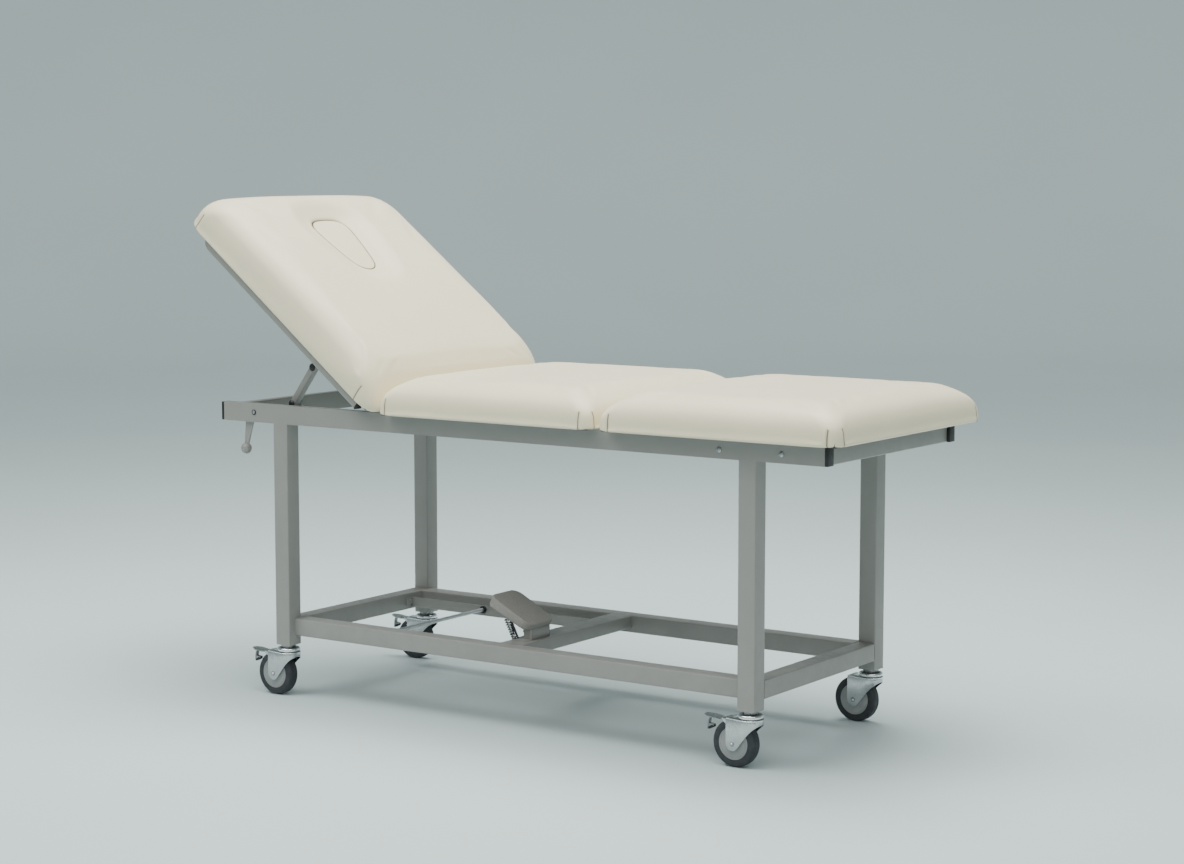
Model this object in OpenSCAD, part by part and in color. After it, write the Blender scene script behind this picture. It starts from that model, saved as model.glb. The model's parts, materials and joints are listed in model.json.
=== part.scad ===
// Examination table on castors: three upholstered sections on a square-tube frame,
// the head section raised on a folding prop, with a foot pedal and a release lever.
// Millimetres. X runs to the foot end, -Y is the side seen first, Z is up, floor at Z = 0.

/* [Upper frame] */
// overall length of the side rails, end caps included
rail_l = 1710; // [1400:5:1900]
// overall width over the two side rails
frame_w = 590; // [520:5:700]
// height of the rails' top face above the floor
rail_top = 719; // [600:1:820]
// side rail tube height
rail_h = 45; // [30:1:60]
// side rail tube width
rail_w = 25; // [20:1:40]
// steel wall of every tube
wall = 2; // [1.5:0.5:3]
// thickness of the plastic end caps' visible part
cap_t = 8; // [3:1:14]

/* [Legs and lower frame] */
// leg tube side
leg_s = 44; // [35:1:60]
// centre of the head legs from the frame's middle
leg_head_x = -665; // [-760:1:-560]
// centre of the foot legs from the frame's middle
leg_foot_x = 658; // [560:1:760]
// lower side rail width
low_w = 44; // [30:1:60]
// lower side rail height
low_h = 42; // [30:1:60]
// height of the lower rails' top face
low_top = 193; // [160:1:260]
// how far the lower side rails stand inboard of the legs' outer faces
low_inset = 23; // [0:1:30]
// head side face of the middle cross rail
mid_x = -48; // [-120:1:60]
// width of the middle cross rail along the table
mid_w = 62; // [40:1:80]
// height of the middle cross rail
mid_h = 31; // [25:1:42]

/* [Upholstery] */
// width of all three pads
pad_w = 698; // [600:1:760]
// thickness of a pad at the shoulder of its crown
pad_t = 83; // [50:1:100]
// extra height in the middle of the crown
crown = 4; // [0:0.5:10]
// radius of the pads' corners in plan
pad_r = 31; // [10:1:60]
// foot end of the foot pad
foot_x1 = 906; // [860:1:940]
// head end of the foot pad
foot_x0 = 294; // [200:1:320]
// foot end of the seat pad
seat_x1 = 283; // [200:1:300]
// head end of the seat pad
seat_x0 = -328; // [-380:1:-280]
// length of the back pad from its hinge line
back_l = 726; // [600:1:800]
// thickness of the back pad at the shoulder of its crown
back_t = 93; // [50:1:105]
// radius in plan of the back pad's two head corners
back_r = 48; // [10:1:70]
// depth of the sewn seams
seam_d = 1.8; // [0:0.2:4]
// thickness of the plywood boards
board_t = 9; // [6:1:18]

/* [Backrest] */
// angle of the backrest as photographed
tilt = 38.3; // [0:0.1:42]
// hinge line, along the table
hinge_x = -354.2; // [-400:0.1:-340]
// hinge line below the rails' top face
hinge_drop = 7.7; // [3:0.1:19]
// height of the pad plane above the hinge line
lift = 8; // [6:0.5:14]
// side tube section
btube = 25; // [20:1:30]
// how far the side tubes stand inside the pad's sides
btube_in = 21; // [5:1:40]
// end of the side tubes nearest the hinge, from the hinge line
btube_s0 = 51; // [30:1:80]
// outer face of the top tube, from the hinge line
btube_s1 = 684; // [600:1:700]

/* [Prop] */
// prop pivot from the hinge line, along the back
prop_s = 257.2; // [200:0.1:300]
// prop pivot below the hinge plane
prop_t = -20.2; // [-40:0.1:-12]
// lean of the prop above level, as photographed
prop_a = 53.7; // [40:0.1:70]
// length from prop pivot to foot roller
prop_l = 167.6; // [150:0.1:180]
// how many degrees the prop turns for each degree of backrest
prop_k = 1.452; // [1:0.001:2]
// clearance between a prop arm and the side rail
prop_gap = 22; // [14:1:40]
// prop arm depth across the table
prop_d = 20; // [12:1:24]
// prop arm width
prop_b = 15; // [10:1:20]
// diameter of the black dome caps
dome_d = 20; // [14:1:26]
// largest backrest angle that the ramps are cut for
tilt_max = 42; // [30:1:45]

/* [Release lever] */
// pivot screw, along the table
lever_x = -748.4; // [-780:0.1:-720]
// pivot screw below the rails' top face
lever_drop = 21; // [14:0.1:29]
// ball diameter
ball_d = 27; // [20:1:35]

/* [Foot pedal] */
// middle of the pedal across the table
pedal_y = -135; // [-160:1:-60]
// pedal pad length
pedal_l = 118; // [90:1:140]
// pedal pad width
pedal_w = 92; // [60:1:110]
// pedal pad thickness
pedal_t = 19; // [12:1:26]
// slope of the pedal at rest
pedal_a = 27.5; // [10:0.5:40]
// low end of the pedal's top face, along the table
pedal_x = -3; // [-20:0.5:20]
// low end of the pedal's top face above the lower rails
pedal_rise = 41.5; // [30:0.5:60]

/* [Castors] */
// wheel radius
wheel_r = 53.3; // [40:0.1:65]
// tyre width
wheel_w = 29; // [22:1:36]
// axle behind the swivel axis
trail = 35; // [20:1:45]
// height from floor to leg bottom
castor_h = 128.5; // [110:0.5:150]
// hub radius as a share of the wheel's
hub_k = 0.73; // [0.5:0.01:0.8]

/* [Face opening] */
// narrow end, distance from the hinge line
hole_s0 = 440; // [400:1:480]
// wide end, distance from the hinge line
hole_s1 = 552; // [500:1:600]
// radius at the narrow end
hole_r0 = 30; // [20:1:40]
// radius at the wide end
hole_r1 = 48; // [36:1:60]
// half the spread of the wide end
hole_y = 21; // [0:1:40]
// gap round the plug
plug_gap = 1; // [0.5:0.1:3]

/* [Output] */
// moves the model so that its rest box is centred on the origin
shift_x = 4.05; // [-20:0.1:20]
// which node to draw

/* [Hidden] */
$fn = 48;
eps = 0.02;
run = 0.05;                                  // radial clearance of a running fit
hw = frame_w / 2;
rail_bot = rail_top - rail_h;
rail_in = hw - rail_w;
leg_in = hw - leg_s;
low_bot = low_top - low_h;
low_out = hw - low_inset;
low_in = low_out - low_w;
leg_fx = leg_s / 2;                          // half a leg
hinge_z = rail_top - hinge_drop;
lever_z = rail_top - lever_drop;
btube_y = pad_w / 2 - btube_in;              // outer face of the back's side tubes
prop_y = rail_in - prop_gap;                 // outer face of the prop arms
pedal_low = [pedal_x, low_top + pedal_rise];
cross_head_x = -816;                         // head side faces of the upper cross rails
cross_hinge_x = -334;
cross_seat_x = 276;
cross_foot_x = rail_l / 2 - cap_t - rail_w;
paint = [0.60, 0.61, 0.60];
cream = [0.88, 0.86, 0.80];
black = [0.05, 0.05, 0.055];
zinc = [0.72, 0.73, 0.74];
ply = [0.16, 0.15, 0.14];
sides = [["near", -1], ["far", 1]];

// the four castors: name, x, side of the table, brake
castors = [["head_near", leg_head_x, -1, true], ["head_far", leg_head_x, 1, true],
           ["foot_near", leg_foot_x, -1, true], ["foot_far", leg_foot_x, 1, false]];
castor_y = hw - leg_s / 2;

// ---------------------------------------------------------------- helpers

// box between two corners
module box(a, b) { translate(a) cube(b - a); }

// rectangular tube between two corners, open along the given axis
module tube(a, b, axis) {
    g = [for (i = [0:2]) i == axis ? -1 : wall];
    difference() {
        box(a, b);
        box(a + g, b - g);
    }
}

// cylinder along Y from y0 to y1 through (x, z)
module rod_y(x, z, r, y0, y1) {
    translate([x, max(y0, y1), z]) rotate([90, 0, 0]) cylinder(r = r, h = abs(y1 - y0));
}

// plate in the XZ plane: the 2D child's y is height, thickness from y0 to y1
module plate_y(y0, y1) {
    translate([0, max(y0, y1), 0]) rotate([90, 0, 0]) linear_extrude(abs(y1 - y0)) children();
}

// frame of the raised back: local -X runs up the back, local Z out of its pads
module back_frame() { translate([hinge_x, 0, hinge_z]) rotate([0, tilt, 0]) children(); }

function back_pt(s, t, a = tilt) =
    [hinge_x - s * cos(a) + t * sin(a), hinge_z + s * sin(a) + t * cos(a)];

// ---------------------------------------------------------------- cushions

// Outline of a pad in plan, as [x, y, nx, ny, groove] in order round the edge. Each corner is an
// arc, and a sewn seam stands at both ends of each arc: its point is pushed in, its neighbours not.
function corner_pts(cx, cy, r, a0) =
    let (n = 4, w = 2.2)
    concat([for (k = [-1, 0]) let (a = a0) [cx + r * cos(a) - k * w * sin(a),
                cy + r * sin(a) + k * w * cos(a), cos(a), sin(a), k == 0 ? 1 : 0]],
           [for (i = [0:n]) let (a = a0 + 90 * (i + 0.35) / (n + 0.7))
                [cx + r * cos(a), cy + r * sin(a), cos(a), sin(a), 0]],
           [for (k = [0, 1]) let (a = a0 + 90) [cx + r * cos(a) - k * w * sin(a),
                cy + r * sin(a) + k * w * cos(a), cos(a), sin(a), k == 0 ? 1 : 0]]);
function side_pts(p, q, n) =
    [for (i = [1:n]) let (f = i / (n + 1), d = q - p, l = norm(d))
        [p[0] + f * d[0], p[1] + f * d[1], d[1] / l, -d[0] / l, 0]];
function pad_outline(x0, x1, w, r0, r1) =
    let (h = w / 2)
    concat(corner_pts(x1 - r1, h - r1, r1, 0),
           side_pts([x1 - r1, h], [x0 + r0, h], 4),
           corner_pts(x0 + r0, h - r0, r0, 90),
           side_pts([x0, h - r0], [x0, -h + r0], 4),
           corner_pts(x0 + r0, -h + r0, r0, 180),
           side_pts([x0 + r0, -h], [x1 - r1, -h], 4),
           corner_pts(x1 - r1, -h + r1, r1, 270),
           side_pts([x1, -h + r1], [x1, h - r1], 4));

// Rings of a pad's side and shoulder: [share of height, inset, groove depth share]
pad_rings = [[0, 7, 0.4], [0.035, 2.5, 0.8], [0.09, 0.3, 1], [0.32, -0.9, 1], [0.5, 0, 0.8],
             [0.62, 1.8, 0.25], [0.74, 6, 0], [0.85, 12.5, 0], [0.93, 20.5, 0], [0.985, 33, 0],
             [1, 50, 0]];
// Rings of the crown: [scale of the last side ring, share of crown height]
crown_rings = [[0.72, 0.55], [0.38, 0.9]];
soften = 0.9;                                // corner radius gained for each mm of inset

// Closed cushion: rings round its outline from the flat underside up over the shoulder to a crown.
// r0 and r1 are the corner radii at its two ends. Above lean[0], its x1 end leans back by lean[1].
module cushion(x0, x1, w, r0, r1, z0, h, lean = [0, 0]) {
    n = len(pad_outline(x0, x1, w, r0, r1));
    m = len(pad_rings);
    cx = (x0 + x1) / 2;
    function leaned(x, z) =
        x - max(0, (x - (x1 - 130)) / 130) * max(0, z - z0 - lean[0]) * lean[1];
    side = [for (g = pad_rings) let (d = g[1], z = z0 + g[0] * h)
        [for (p = pad_outline(x0 + d, x1 - d, w - 2 * d, r0 + soften * d, r1 + soften * d))
            let (e = p[4] * g[2] * seam_d)
            [leaned(p[0] - p[2] * e, z), p[1] - p[3] * e, z]]];
    top = [for (c = crown_rings) [for (p = side[m - 1])
        [cx + (p[0] - cx) * c[0], p[1] * c[0], z0 + h + crown * c[1]]]];
    rings = concat(side, top);
    k = len(rings);
    pts = concat([for (g = rings) for (p = g) p],
                 [[cx, 0, z0 + h + crown], [cx, 0, z0]]);
    faces = concat(
        [for (j = [0:k - 2]) for (i = [0:n - 1]) let (i2 = (i + 1) % n)
            each [[j * n + i, (j + 1) * n + i, (j + 1) * n + i2],
                  [j * n + i, (j + 1) * n + i2, j * n + i2]]],
        [for (i = [0:n - 1]) [(k - 1) * n + i, k * n, (k - 1) * n + (i + 1) % n]],
        [for (i = [0:n - 1]) [(i + 1) % n, k * n + 1, i]]);
    polyhedron(points = pts, faces = faces, convexity = 4);
}

// face opening in plan, in the back's own frame, grown by g
module hole_2d(g) {
    hull() {
        translate([-hole_s0, 0]) circle(r = hole_r0 + g, $fn = 32);
        for (y = [-hole_y, hole_y]) translate([-hole_s1, y]) circle(r = hole_r1 + g, $fn = 32);
    }
}

board_in = 14;                               // boards stand in from the pads' edges
pad_z = rail_top;                            // underside of the flat pads

module board_shape(x0, x1, z0) {
    box([x0 + board_in, -pad_w / 2 + board_in, z0], [x1 - board_in, pad_w / 2 - board_in, z0 + board_t]);
}

module pad_boards() color(ply) {
    board_shape(seat_x0, seat_x1, pad_z);
    board_shape(foot_x0, foot_x1, pad_z);
}

module flat_pad(x0, x1, r1) color(cream) difference() {
    cushion(x0, x1, pad_w, pad_r, r1, pad_z, pad_t);
    box([x0 + board_in, -pad_w / 2 + board_in, pad_z - 1],
        [x1 - board_in, pad_w / 2 - board_in, pad_z + board_t]);
}
module seat_pad() flat_pad(seat_x0, seat_x1, pad_r);
module foot_pad() flat_pad(foot_x0, foot_x1, pad_r + 7);

back_x1 = 8;                                 // hinge end of the back pad, past the hinge line
back_board_x1 = -16;

module back_board() color(ply) back_frame() difference() {
    box([-back_l + board_in, -pad_w / 2 + board_in, lift],
        [back_board_x1, pad_w / 2 - board_in, lift + board_t]);
    translate([0, 0, lift - 1]) linear_extrude(board_t + 2) hole_2d(-10);
}

module back_pad() color(cream) back_frame() difference() {
    cushion(-back_l, back_x1, pad_w, back_r, pad_r, lift, back_t, [17, 0.9]);
    box([-back_l + board_in, -pad_w / 2 + board_in, lift - 1],
        [back_board_x1, pad_w / 2 - board_in, lift + board_t]);
    translate([0, 0, lift - 1]) linear_extrude(back_t + 20) hole_2d(0);
    // hinge end cut back underneath, so that it clears the rails as it tips
    rotate([90, 0, 0]) translate([0, 0, -pad_w]) linear_extrude(2 * pad_w)
        polygon([[-6, lift - 1], [-6, lift], [2, lift + 8], [9, lift + 17], [20, lift + 17],
                 [20, lift - 1]]);
}

// the plug stands on the board, a little below the pad's face, with a soft dimple
module face_plug() color(cream) back_frame() difference() {
    union() {
        translate([0, 0, lift + board_t + 0.3]) linear_extrude(back_t - board_t - 6)
            hole_2d(-plug_gap);
        translate([0, 0, lift + back_t - 5.7]) linear_extrude(3) hole_2d(-plug_gap - 4);
    }
    translate([-(hole_s0 + hole_s1) / 2 - 8, 0, lift + back_t + 57]) sphere(r = 63, $fn = 40);
}

// ---------------------------------------------------------------- upper frame

lever_y = [-hw + 9, -hw + 14];               // blade of the release lever, inside the rail
screw_x = [588, 742.5];                      // the two pan head screws in the near side rail
screw_z = rail_top - 25.5;

module side_rail(s) color(paint) difference() {
    l = rail_l / 2 - cap_t;
    if (s < 0) tube([-l, -hw, rail_bot], [l, -rail_in, rail_top], 0);
    else tube([-l, rail_in, rail_bot], [l, hw, rail_top], 0);
    if (s < 0) {
        for (x = screw_x) rod_y(x, screw_z, 3, -hw - 1, -hw + wall + 1);
        rod_y(lever_x, lever_z, 3, -hw - 1, -rail_in + 1);
        // slot underneath for the lever's blade
        box([lever_x - 53, lever_y[0] - 2, rail_bot - 1], [lever_x + 2, lever_y[1] + 2, rail_bot + wall + 1]);
    }
}
module side_rail_near() side_rail(-1);
module side_rail_far() side_rail(1);

module upper_cross(x) color(paint)
    tube([x, -rail_in, rail_bot], [x + rail_w, rail_in, rail_top], 1);
module cross_rail_foot() upper_cross(cross_foot_x);
module cross_rail_seat() upper_cross(cross_seat_x);
module cross_rail_hinge() upper_cross(cross_hinge_x);
module cross_rail_head() upper_cross(cross_head_x);

// plastic caps: a visible block and a plug that goes into the tube
module rail_end_caps() color(black)
    for (e = [-1, 1]) for (q = sides) scale([e, q[1], 1]) {
        l = rail_l / 2;
        box([l - cap_t, rail_in, rail_bot], [l, hw, rail_top]);
        box([l - cap_t - 14, rail_in + wall, rail_bot + wall], [l - cap_t + eps, hw - wall, rail_top - wall]);
    }

// slotted pan head screws in the near rail, and the release lever's pivot screw
module pan_screw(x, z) {
    rod_y(x, z, 3, -hw - 0.5, -hw + wall + 4);
    difference() {
        translate([x, -hw, z]) rotate([90, 0, 0]) cylinder(r1 = 6.5, r2 = 5, h = 3);
        box([x - 7, -hw - 4, z - 0.7], [x + 7, -hw - 2, z + 0.7]);
    }
}
module rail_screws() color(zinc) {
    for (x = screw_x) pan_screw(x, screw_z);
    rod_y(lever_x, lever_z, 3, -hw - 0.5, -rail_in);
    translate([lever_x, -hw, lever_z]) rotate([90, 0, 0]) cylinder(r1 = 7, r2 = 6, h = 3.5);
}

// ---------------------------------------------------------------- legs and lower frame

module leg(x, s) color(paint)
    tube([x - leg_fx, s < 0 ? -hw : leg_in, castor_h],
         [x + leg_fx, s < 0 ? -leg_in : hw, rail_bot], 2);

module lower_rail(s) color(paint)
    tube([leg_head_x + leg_fx, s < 0 ? -low_out : low_in, low_bot],
         [leg_foot_x - leg_fx, s < 0 ? -low_in : low_out, low_top], 0);

module lower_cross_head() color(paint)
    tube([leg_head_x - leg_fx, -leg_in, low_bot], [leg_head_x + leg_fx, leg_in, low_top], 1);
module lower_cross_foot() color(paint)
    tube([leg_foot_x - leg_fx, -leg_in, low_bot], [leg_foot_x + leg_fx, leg_in, low_top], 1);
module lower_cross_mid() color(paint)
    tube([mid_x, -low_in, low_top - mid_h], [mid_x + mid_w, low_in, low_top], 1);

// flat bar along the far side, with a tab turned in at each end and bolted to the cross rails
stay_y = 184;
stay_z = [low_top - 37, low_top - 12];
rod_x = -409;
rod_z = low_top - 21;
module stay_bar() color(paint) {
    x0 = leg_head_x + leg_fx;
    difference() {
        union() {
            box([x0, stay_y, stay_z[0]], [mid_x, stay_y + 5, stay_z[1]]);
            for (x = [x0, mid_x - 4])
                box([x, stay_y - 24, stay_z[0] + 8], [x + 4, stay_y + eps, stay_z[1]]);
        }
        rod_y(rod_x, rod_z, 4.5, stay_y - 2, stay_y + 8);
    }
    for (e = [[x0 + 4, 1], [mid_x - 4, -1]])
        translate([e[0], stay_y - 13, stay_z[0] + 17]) rotate([0, 90 * e[1], 0]) {
            cylinder(r = 6.5, h = 1.5);
            translate([0, 0, 1.5 - eps]) cylinder(r = 5, h = 5, $fn = 6);
        }
}

// rod across the lower frame, with a dark collar where it meets the flat bar
module tie_rod() color(zinc) {
    rod_y(rod_x, rod_z, 4.5, -low_in, stay_y + 12);
    for (y = [stay_y - 3, stay_y + 5]) rod_y(rod_x, rod_z, 9, y, y + 3);
}

// ---------------------------------------------------------------- hinge

ear_y = 180;                                 // middle of each hinge
knuckle = 9;                                 // half the back lug's width
hinge_r = 7;

// two ears a side, standing out from the hinge cross rail
module hinge_ears() color(paint)
    for (y = [-ear_y, ear_y]) for (k = [-1, 1]) {
        y0 = y + k * (knuckle + 3.5) - 2.5;
        difference() {
            plate_y(y0, y0 + 5) union() {
                translate([hinge_x, hinge_z]) circle(r = hinge_r);
                polygon([[hinge_x, hinge_z - hinge_r], [cross_hinge_x, rail_bot + 8],
                         [cross_hinge_x, hinge_z + hinge_r - 0.1], [hinge_x, hinge_z + hinge_r - 0.1]]);
            }
            rod_y(hinge_x, hinge_z, 4, y0 - 1, y0 + 6);
        }
    }
module hinge_pins() color(zinc)
    for (y = [-ear_y, ear_y]) {
        rod_y(hinge_x, hinge_z, 4, y - 16, y + 16);
        for (k = [-1, 1]) rod_y(hinge_x, hinge_z, 6, y + k * 15, y + k * 17);
    }

// the back's leaf under its board and the lug that turns on the pin
module hinge_lugs() color(paint) back_frame()
    for (y = [-ear_y, ear_y]) difference() {
        union() {
            plate_y(y - knuckle, y + knuckle) union() {
                circle(r = hinge_r);
                polygon([[0, -hinge_r], [-26, 0], [-40, lift - 3], [-40, lift], [-4, lift], [0, hinge_r]]);
            }
            box([-90, y - 22, lift - 3], [-18, y + 22, lift]);
        }
        rod_y(0, 0, 4 + run, y - knuckle - 1, y + knuckle + 1);
    }

// ---------------------------------------------------------------- back tubes

module back_tube(s) color(paint) back_frame()
    translate([0, s < 0 ? 0 : 0, 0]) {
        y = s < 0 ? [-btube_y, -btube_y + btube - 1] : [btube_y - btube + 1, btube_y];
        tube([-btube_s1 + 56, y[0], lift - btube], [-btube_s0, y[1], lift], 0);
    }

// the tube across the top with its two bends
module back_tube_top() color(paint) back_frame() {
    b = btube - 1;
    r = 56;
    c = btube_y - r;
    tube([-btube_s1, -c, lift - btube], [-btube_s1 + b, c, lift], 1);
    for (s = [-1, 1]) translate([-btube_s1 + r, s * c, 0])
        rotate([0, 0, s < 0 ? 180 : 90]) rotate_extrude(angle = 90, $fn = 64)
            translate([r - b, lift - btube]) difference() {
                square([b, btube]);
                translate([wall, wall]) square([b - 2 * wall, btube - 2 * wall]);
            }
}

module back_caps() color(black) back_frame()
    for (s = [-1, 1]) {
        y = s < 0 ? [-btube_y, -btube_y + btube - 1] : [btube_y - btube + 1, btube_y];
        box([-btube_s0, y[0], lift - btube], [-btube_s0 + 4, y[1], lift]);
        box([-btube_s0 - 12, y[0] + wall, lift - btube + wall],
            [-btube_s0 + eps, y[1] - wall, lift - wall]);
    }

// ---------------------------------------------------------------- prop

prop_p = back_pt(prop_s, prop_t);            // prop pivot at rest
prop_tube_r = 8;
roller_r = 8;
lug_y = [prop_y - prop_d - 10, prop_y - prop_d - 4];
web_y = [prop_y - prop_d - 14, prop_y - prop_d - 8];

// where the foot roller is when the backrest is at angle a
function prop_foot(a) =
    let (p = back_pt(prop_s, prop_t, a), q = prop_a + prop_k * (a - tilt))
    [p[0] - prop_l * cos(q), p[1] - prop_l * sin(q)];
prop_f = prop_foot(tilt);

// pivot lugs under the back board
module prop_lugs() color(paint) back_frame()
    for (q = sides) difference() {
        scale([1, q[1], 1]) union() {
            plate_y(lug_y[0], lug_y[1]) polygon(concat([[-prop_s - 26, lift - 3], [-prop_s - 26, lift],
                [-prop_s + 26, lift], [-prop_s + 26, lift - 3]],
                [for (i = [-2:8]) let (a = -i * 30) [-prop_s + 13 * cos(a), prop_t + 13 * sin(a)]]));
            box([-prop_s - 26, lug_y[0] - 22, lift - 3], [-prop_s + 26, lug_y[1], lift]);
        }
        rod_y(-prop_s, prop_t, prop_tube_r + run, q[1] * (lug_y[0] - 30), q[1] * (lug_y[1] + 3));
    }

// tube that turns in the lugs, the rivets of the two middle caps and the foot rollers
prop_m = [prop_p[0] - 53 * cos(prop_a), prop_p[1] - 53 * sin(prop_a)];
module prop_tube() color(zinc) {
    rod_y(prop_p[0], prop_p[1], prop_tube_r, -prop_y + prop_d, prop_y - prop_d);
    for (q = sides) {
        rod_y(prop_m[0], prop_m[1], 5, q[1] * (web_y[1] + 3), q[1] * (prop_y - prop_d));
        rod_y(prop_f[0], prop_f[1], roller_r, q[1] * (web_y[0] - 1), q[1] * (prop_y - prop_d));
    }
}

// two rectangular bars with rounded ends
module prop_arms() color(paint)
    for (q = sides) plate_y(q[1] * (prop_y - prop_d), q[1] * prop_y) {
        for (p = [prop_p, prop_f]) translate(p) circle(r = prop_b / 2);
        translate(prop_f) rotate(prop_a) translate([0, -prop_b / 2]) square([prop_l, prop_b]);
    }

// black dome caps on the outer faces
module prop_caps() color(black)
    for (q = sides) for (p = [prop_m, prop_f])
        translate([p[0], q[1] * prop_y, p[1]]) rotate([q[1] * -90, 0, 0])
            rotate_extrude($fn = 40) intersection() {
                translate([0, -dome_d * 0.28]) scale([1, 0.9]) circle(r = dome_d * 0.57);
                square([dome_d / 2, dome_d]);
            }

// brackets on the side rails: a level plate and a web on it whose edge follows the roller
module prop_ramps() color(paint)
    for (q = sides) scale([1, q[1], 1]) {
        low = prop_foot(0);
        x0 = low[0] + 2.3;
        x1 = prop_foot(tilt_max)[0] + 4.5;
        slack = 0.7;
        box([x0 - 12, web_y[0], rail_bot], [x1, rail_in, rail_bot + 4]);
        plate_y(web_y[0], web_y[1]) polygon(concat(
            [[x1, rail_bot + 4 + run], [x0, rail_bot + 4 + run], [x0, low[1] - roller_r - slack]],
            // the roller hardly moves along below 10 degrees, so its track starts there
            [for (a = [10:4:tilt_max]) let (f = prop_foot(a), g = prop_foot(a + 1), d = g - f, n = norm(d))
                [f[0] + d[1] / n * (roller_r + slack), f[1] - d[0] / n * (roller_r + slack)]]));
    }

// ---------------------------------------------------------------- release lever

lever_mid = [lever_x - 23, lever_z - 21];    // widest place of the blade
lever_low = [lever_x - 35, lever_z - 81];    // where the blade meets the ball
ball_c = [lever_x - 37, lever_z - 92];
module release_lever() color(paint) difference() {
    plate_y(lever_y[0], lever_y[1]) union() {
        hull() {
            translate([lever_x, lever_z]) circle(r = 10);
            translate(lever_mid) circle(r = 12.5);
        }
        hull() {
            translate(lever_mid) circle(r = 12.5);
            translate(lever_low) circle(r = 6);
        }
    }
    rod_y(lever_x, lever_z, 3 + run, lever_y[0] - 1, lever_y[1] + 1);
}
module lever_ball() color(paint) {
    y = (lever_y[0] + lever_y[1]) / 2;
    difference() {
        translate([ball_c[0], y, ball_c[1]]) sphere(r = ball_d / 2, $fn = 48);
        plate_y(lever_y[0], lever_y[1]) hull() {
            translate(lever_mid) circle(r = 12.5);
            translate(lever_low) circle(r = 6);
        }
    }
}

// ---------------------------------------------------------------- foot pedal

pivot = [pedal_x - 18, low_top + 20];        // pedal pin, along the table and height
bracket_y = [pedal_y - 31, pedal_y + 31];
pedal_dir = [-cos(pedal_a), sin(pedal_a)];   // up the pedal's slope
pedal_nrm = [sin(pedal_a), cos(pedal_a)];
function pedal_pt(s, n) = pedal_low + s * pedal_dir + n * pedal_nrm;

// bent bracket: two cheeks that flare towards the head, and a face towards the foot
module pedal_bracket() color(paint) difference() {
    union() {
        for (y = [bracket_y[0], bracket_y[1] - 4]) plate_y(y, y + 4)
            translate([0, low_top]) polygon([[8, 0], [8, 33], [4, 33], [3, 23], [-10, 21],
                [-16.5, 26], [-21, 27.3], [-26, 26], [-29, 19], [-34, 10], [-44, 0]]);
        box([4, bracket_y[0], low_top], [8, bracket_y[1], low_top + 33]);
        box([mid_x - 3, bracket_y[0] - 16, low_top], [8, bracket_y[1], low_top + 3]);
        // lip over the rail's edge with the seat of the return spring
        box([mid_x - 3, bracket_y[0] - 16, spring_seat - 3], [mid_x, bracket_y[0], low_top + 3]);
        box([mid_x - 18, bracket_y[0] - 16, spring_seat - 3], [mid_x, bracket_y[0], spring_seat]);
    }
    rod_y(pivot[0], pivot[1], 4, bracket_y[0] - 1, bracket_y[1] + 1);
}
module pedal_pin() color(zinc) {
    rod_y(pivot[0], pivot[1], 4, bracket_y[0] - 2, bracket_y[1] + 2);
    for (y = [bracket_y[0] - 3, bracket_y[1]]) rod_y(pivot[0], pivot[1], 6, y, y + 3);
}

// channel under the pad with a boss on the pin, a flange for the spring and the guide rod
spring_seat = low_top - 1.5;
module pedal_arm() color(paint) {
    u = -pedal_t - 0.05;
    difference() {
        union() {
            plate_y(pedal_y - 20, pedal_y + 20) polygon([pedal_pt(12, u), pedal_pt(100, u),
                pedal_pt(96, u - 5), pedal_pt(44, u - 6), pivot + [-8, -3], pivot + [0, -8],
                pivot + [6, -5], pivot + [6, 3]]);
            rod_y(pivot[0], pivot[1], 8, pedal_y - 20, pedal_y + 20);
            translate([pedal_low[0], 0, pedal_low[1]]) rotate([0, pedal_a, 0])
                box([-80, pedal_y - 44, u - 2.5], [-56, pedal_y - 19, u]);
        }
        rod_y(pivot[0], pivot[1], 4 + run, pedal_y - 21, pedal_y + 21);
    }
    translate([pedal_pt(66, u - 1.5)[0], pedal_y - 25, pedal_pt(66, u - 1.5)[1]])
        rotate([0, 180 - 11, 0]) cylinder(r = 2.4, h = 51, $fn = 24);
}
module pedal_pad() color([0.36, 0.35, 0.33])
    translate([pedal_low[0], pedal_y, pedal_low[1]]) rotate([0, pedal_a, 0])
        translate([-pedal_l / 2, 0, -pedal_t]) hull() {
            for (x = [-1, 1]) for (y = [-1, 1])
                translate([x * (pedal_l / 2 - 14), y * (pedal_w / 2 - 14), 0]) {
                    cylinder(r = 11, h = pedal_t, $fn = 32);
                    cylinder(r = 14, h = pedal_t - 3, $fn = 32);
                }
        }

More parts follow.
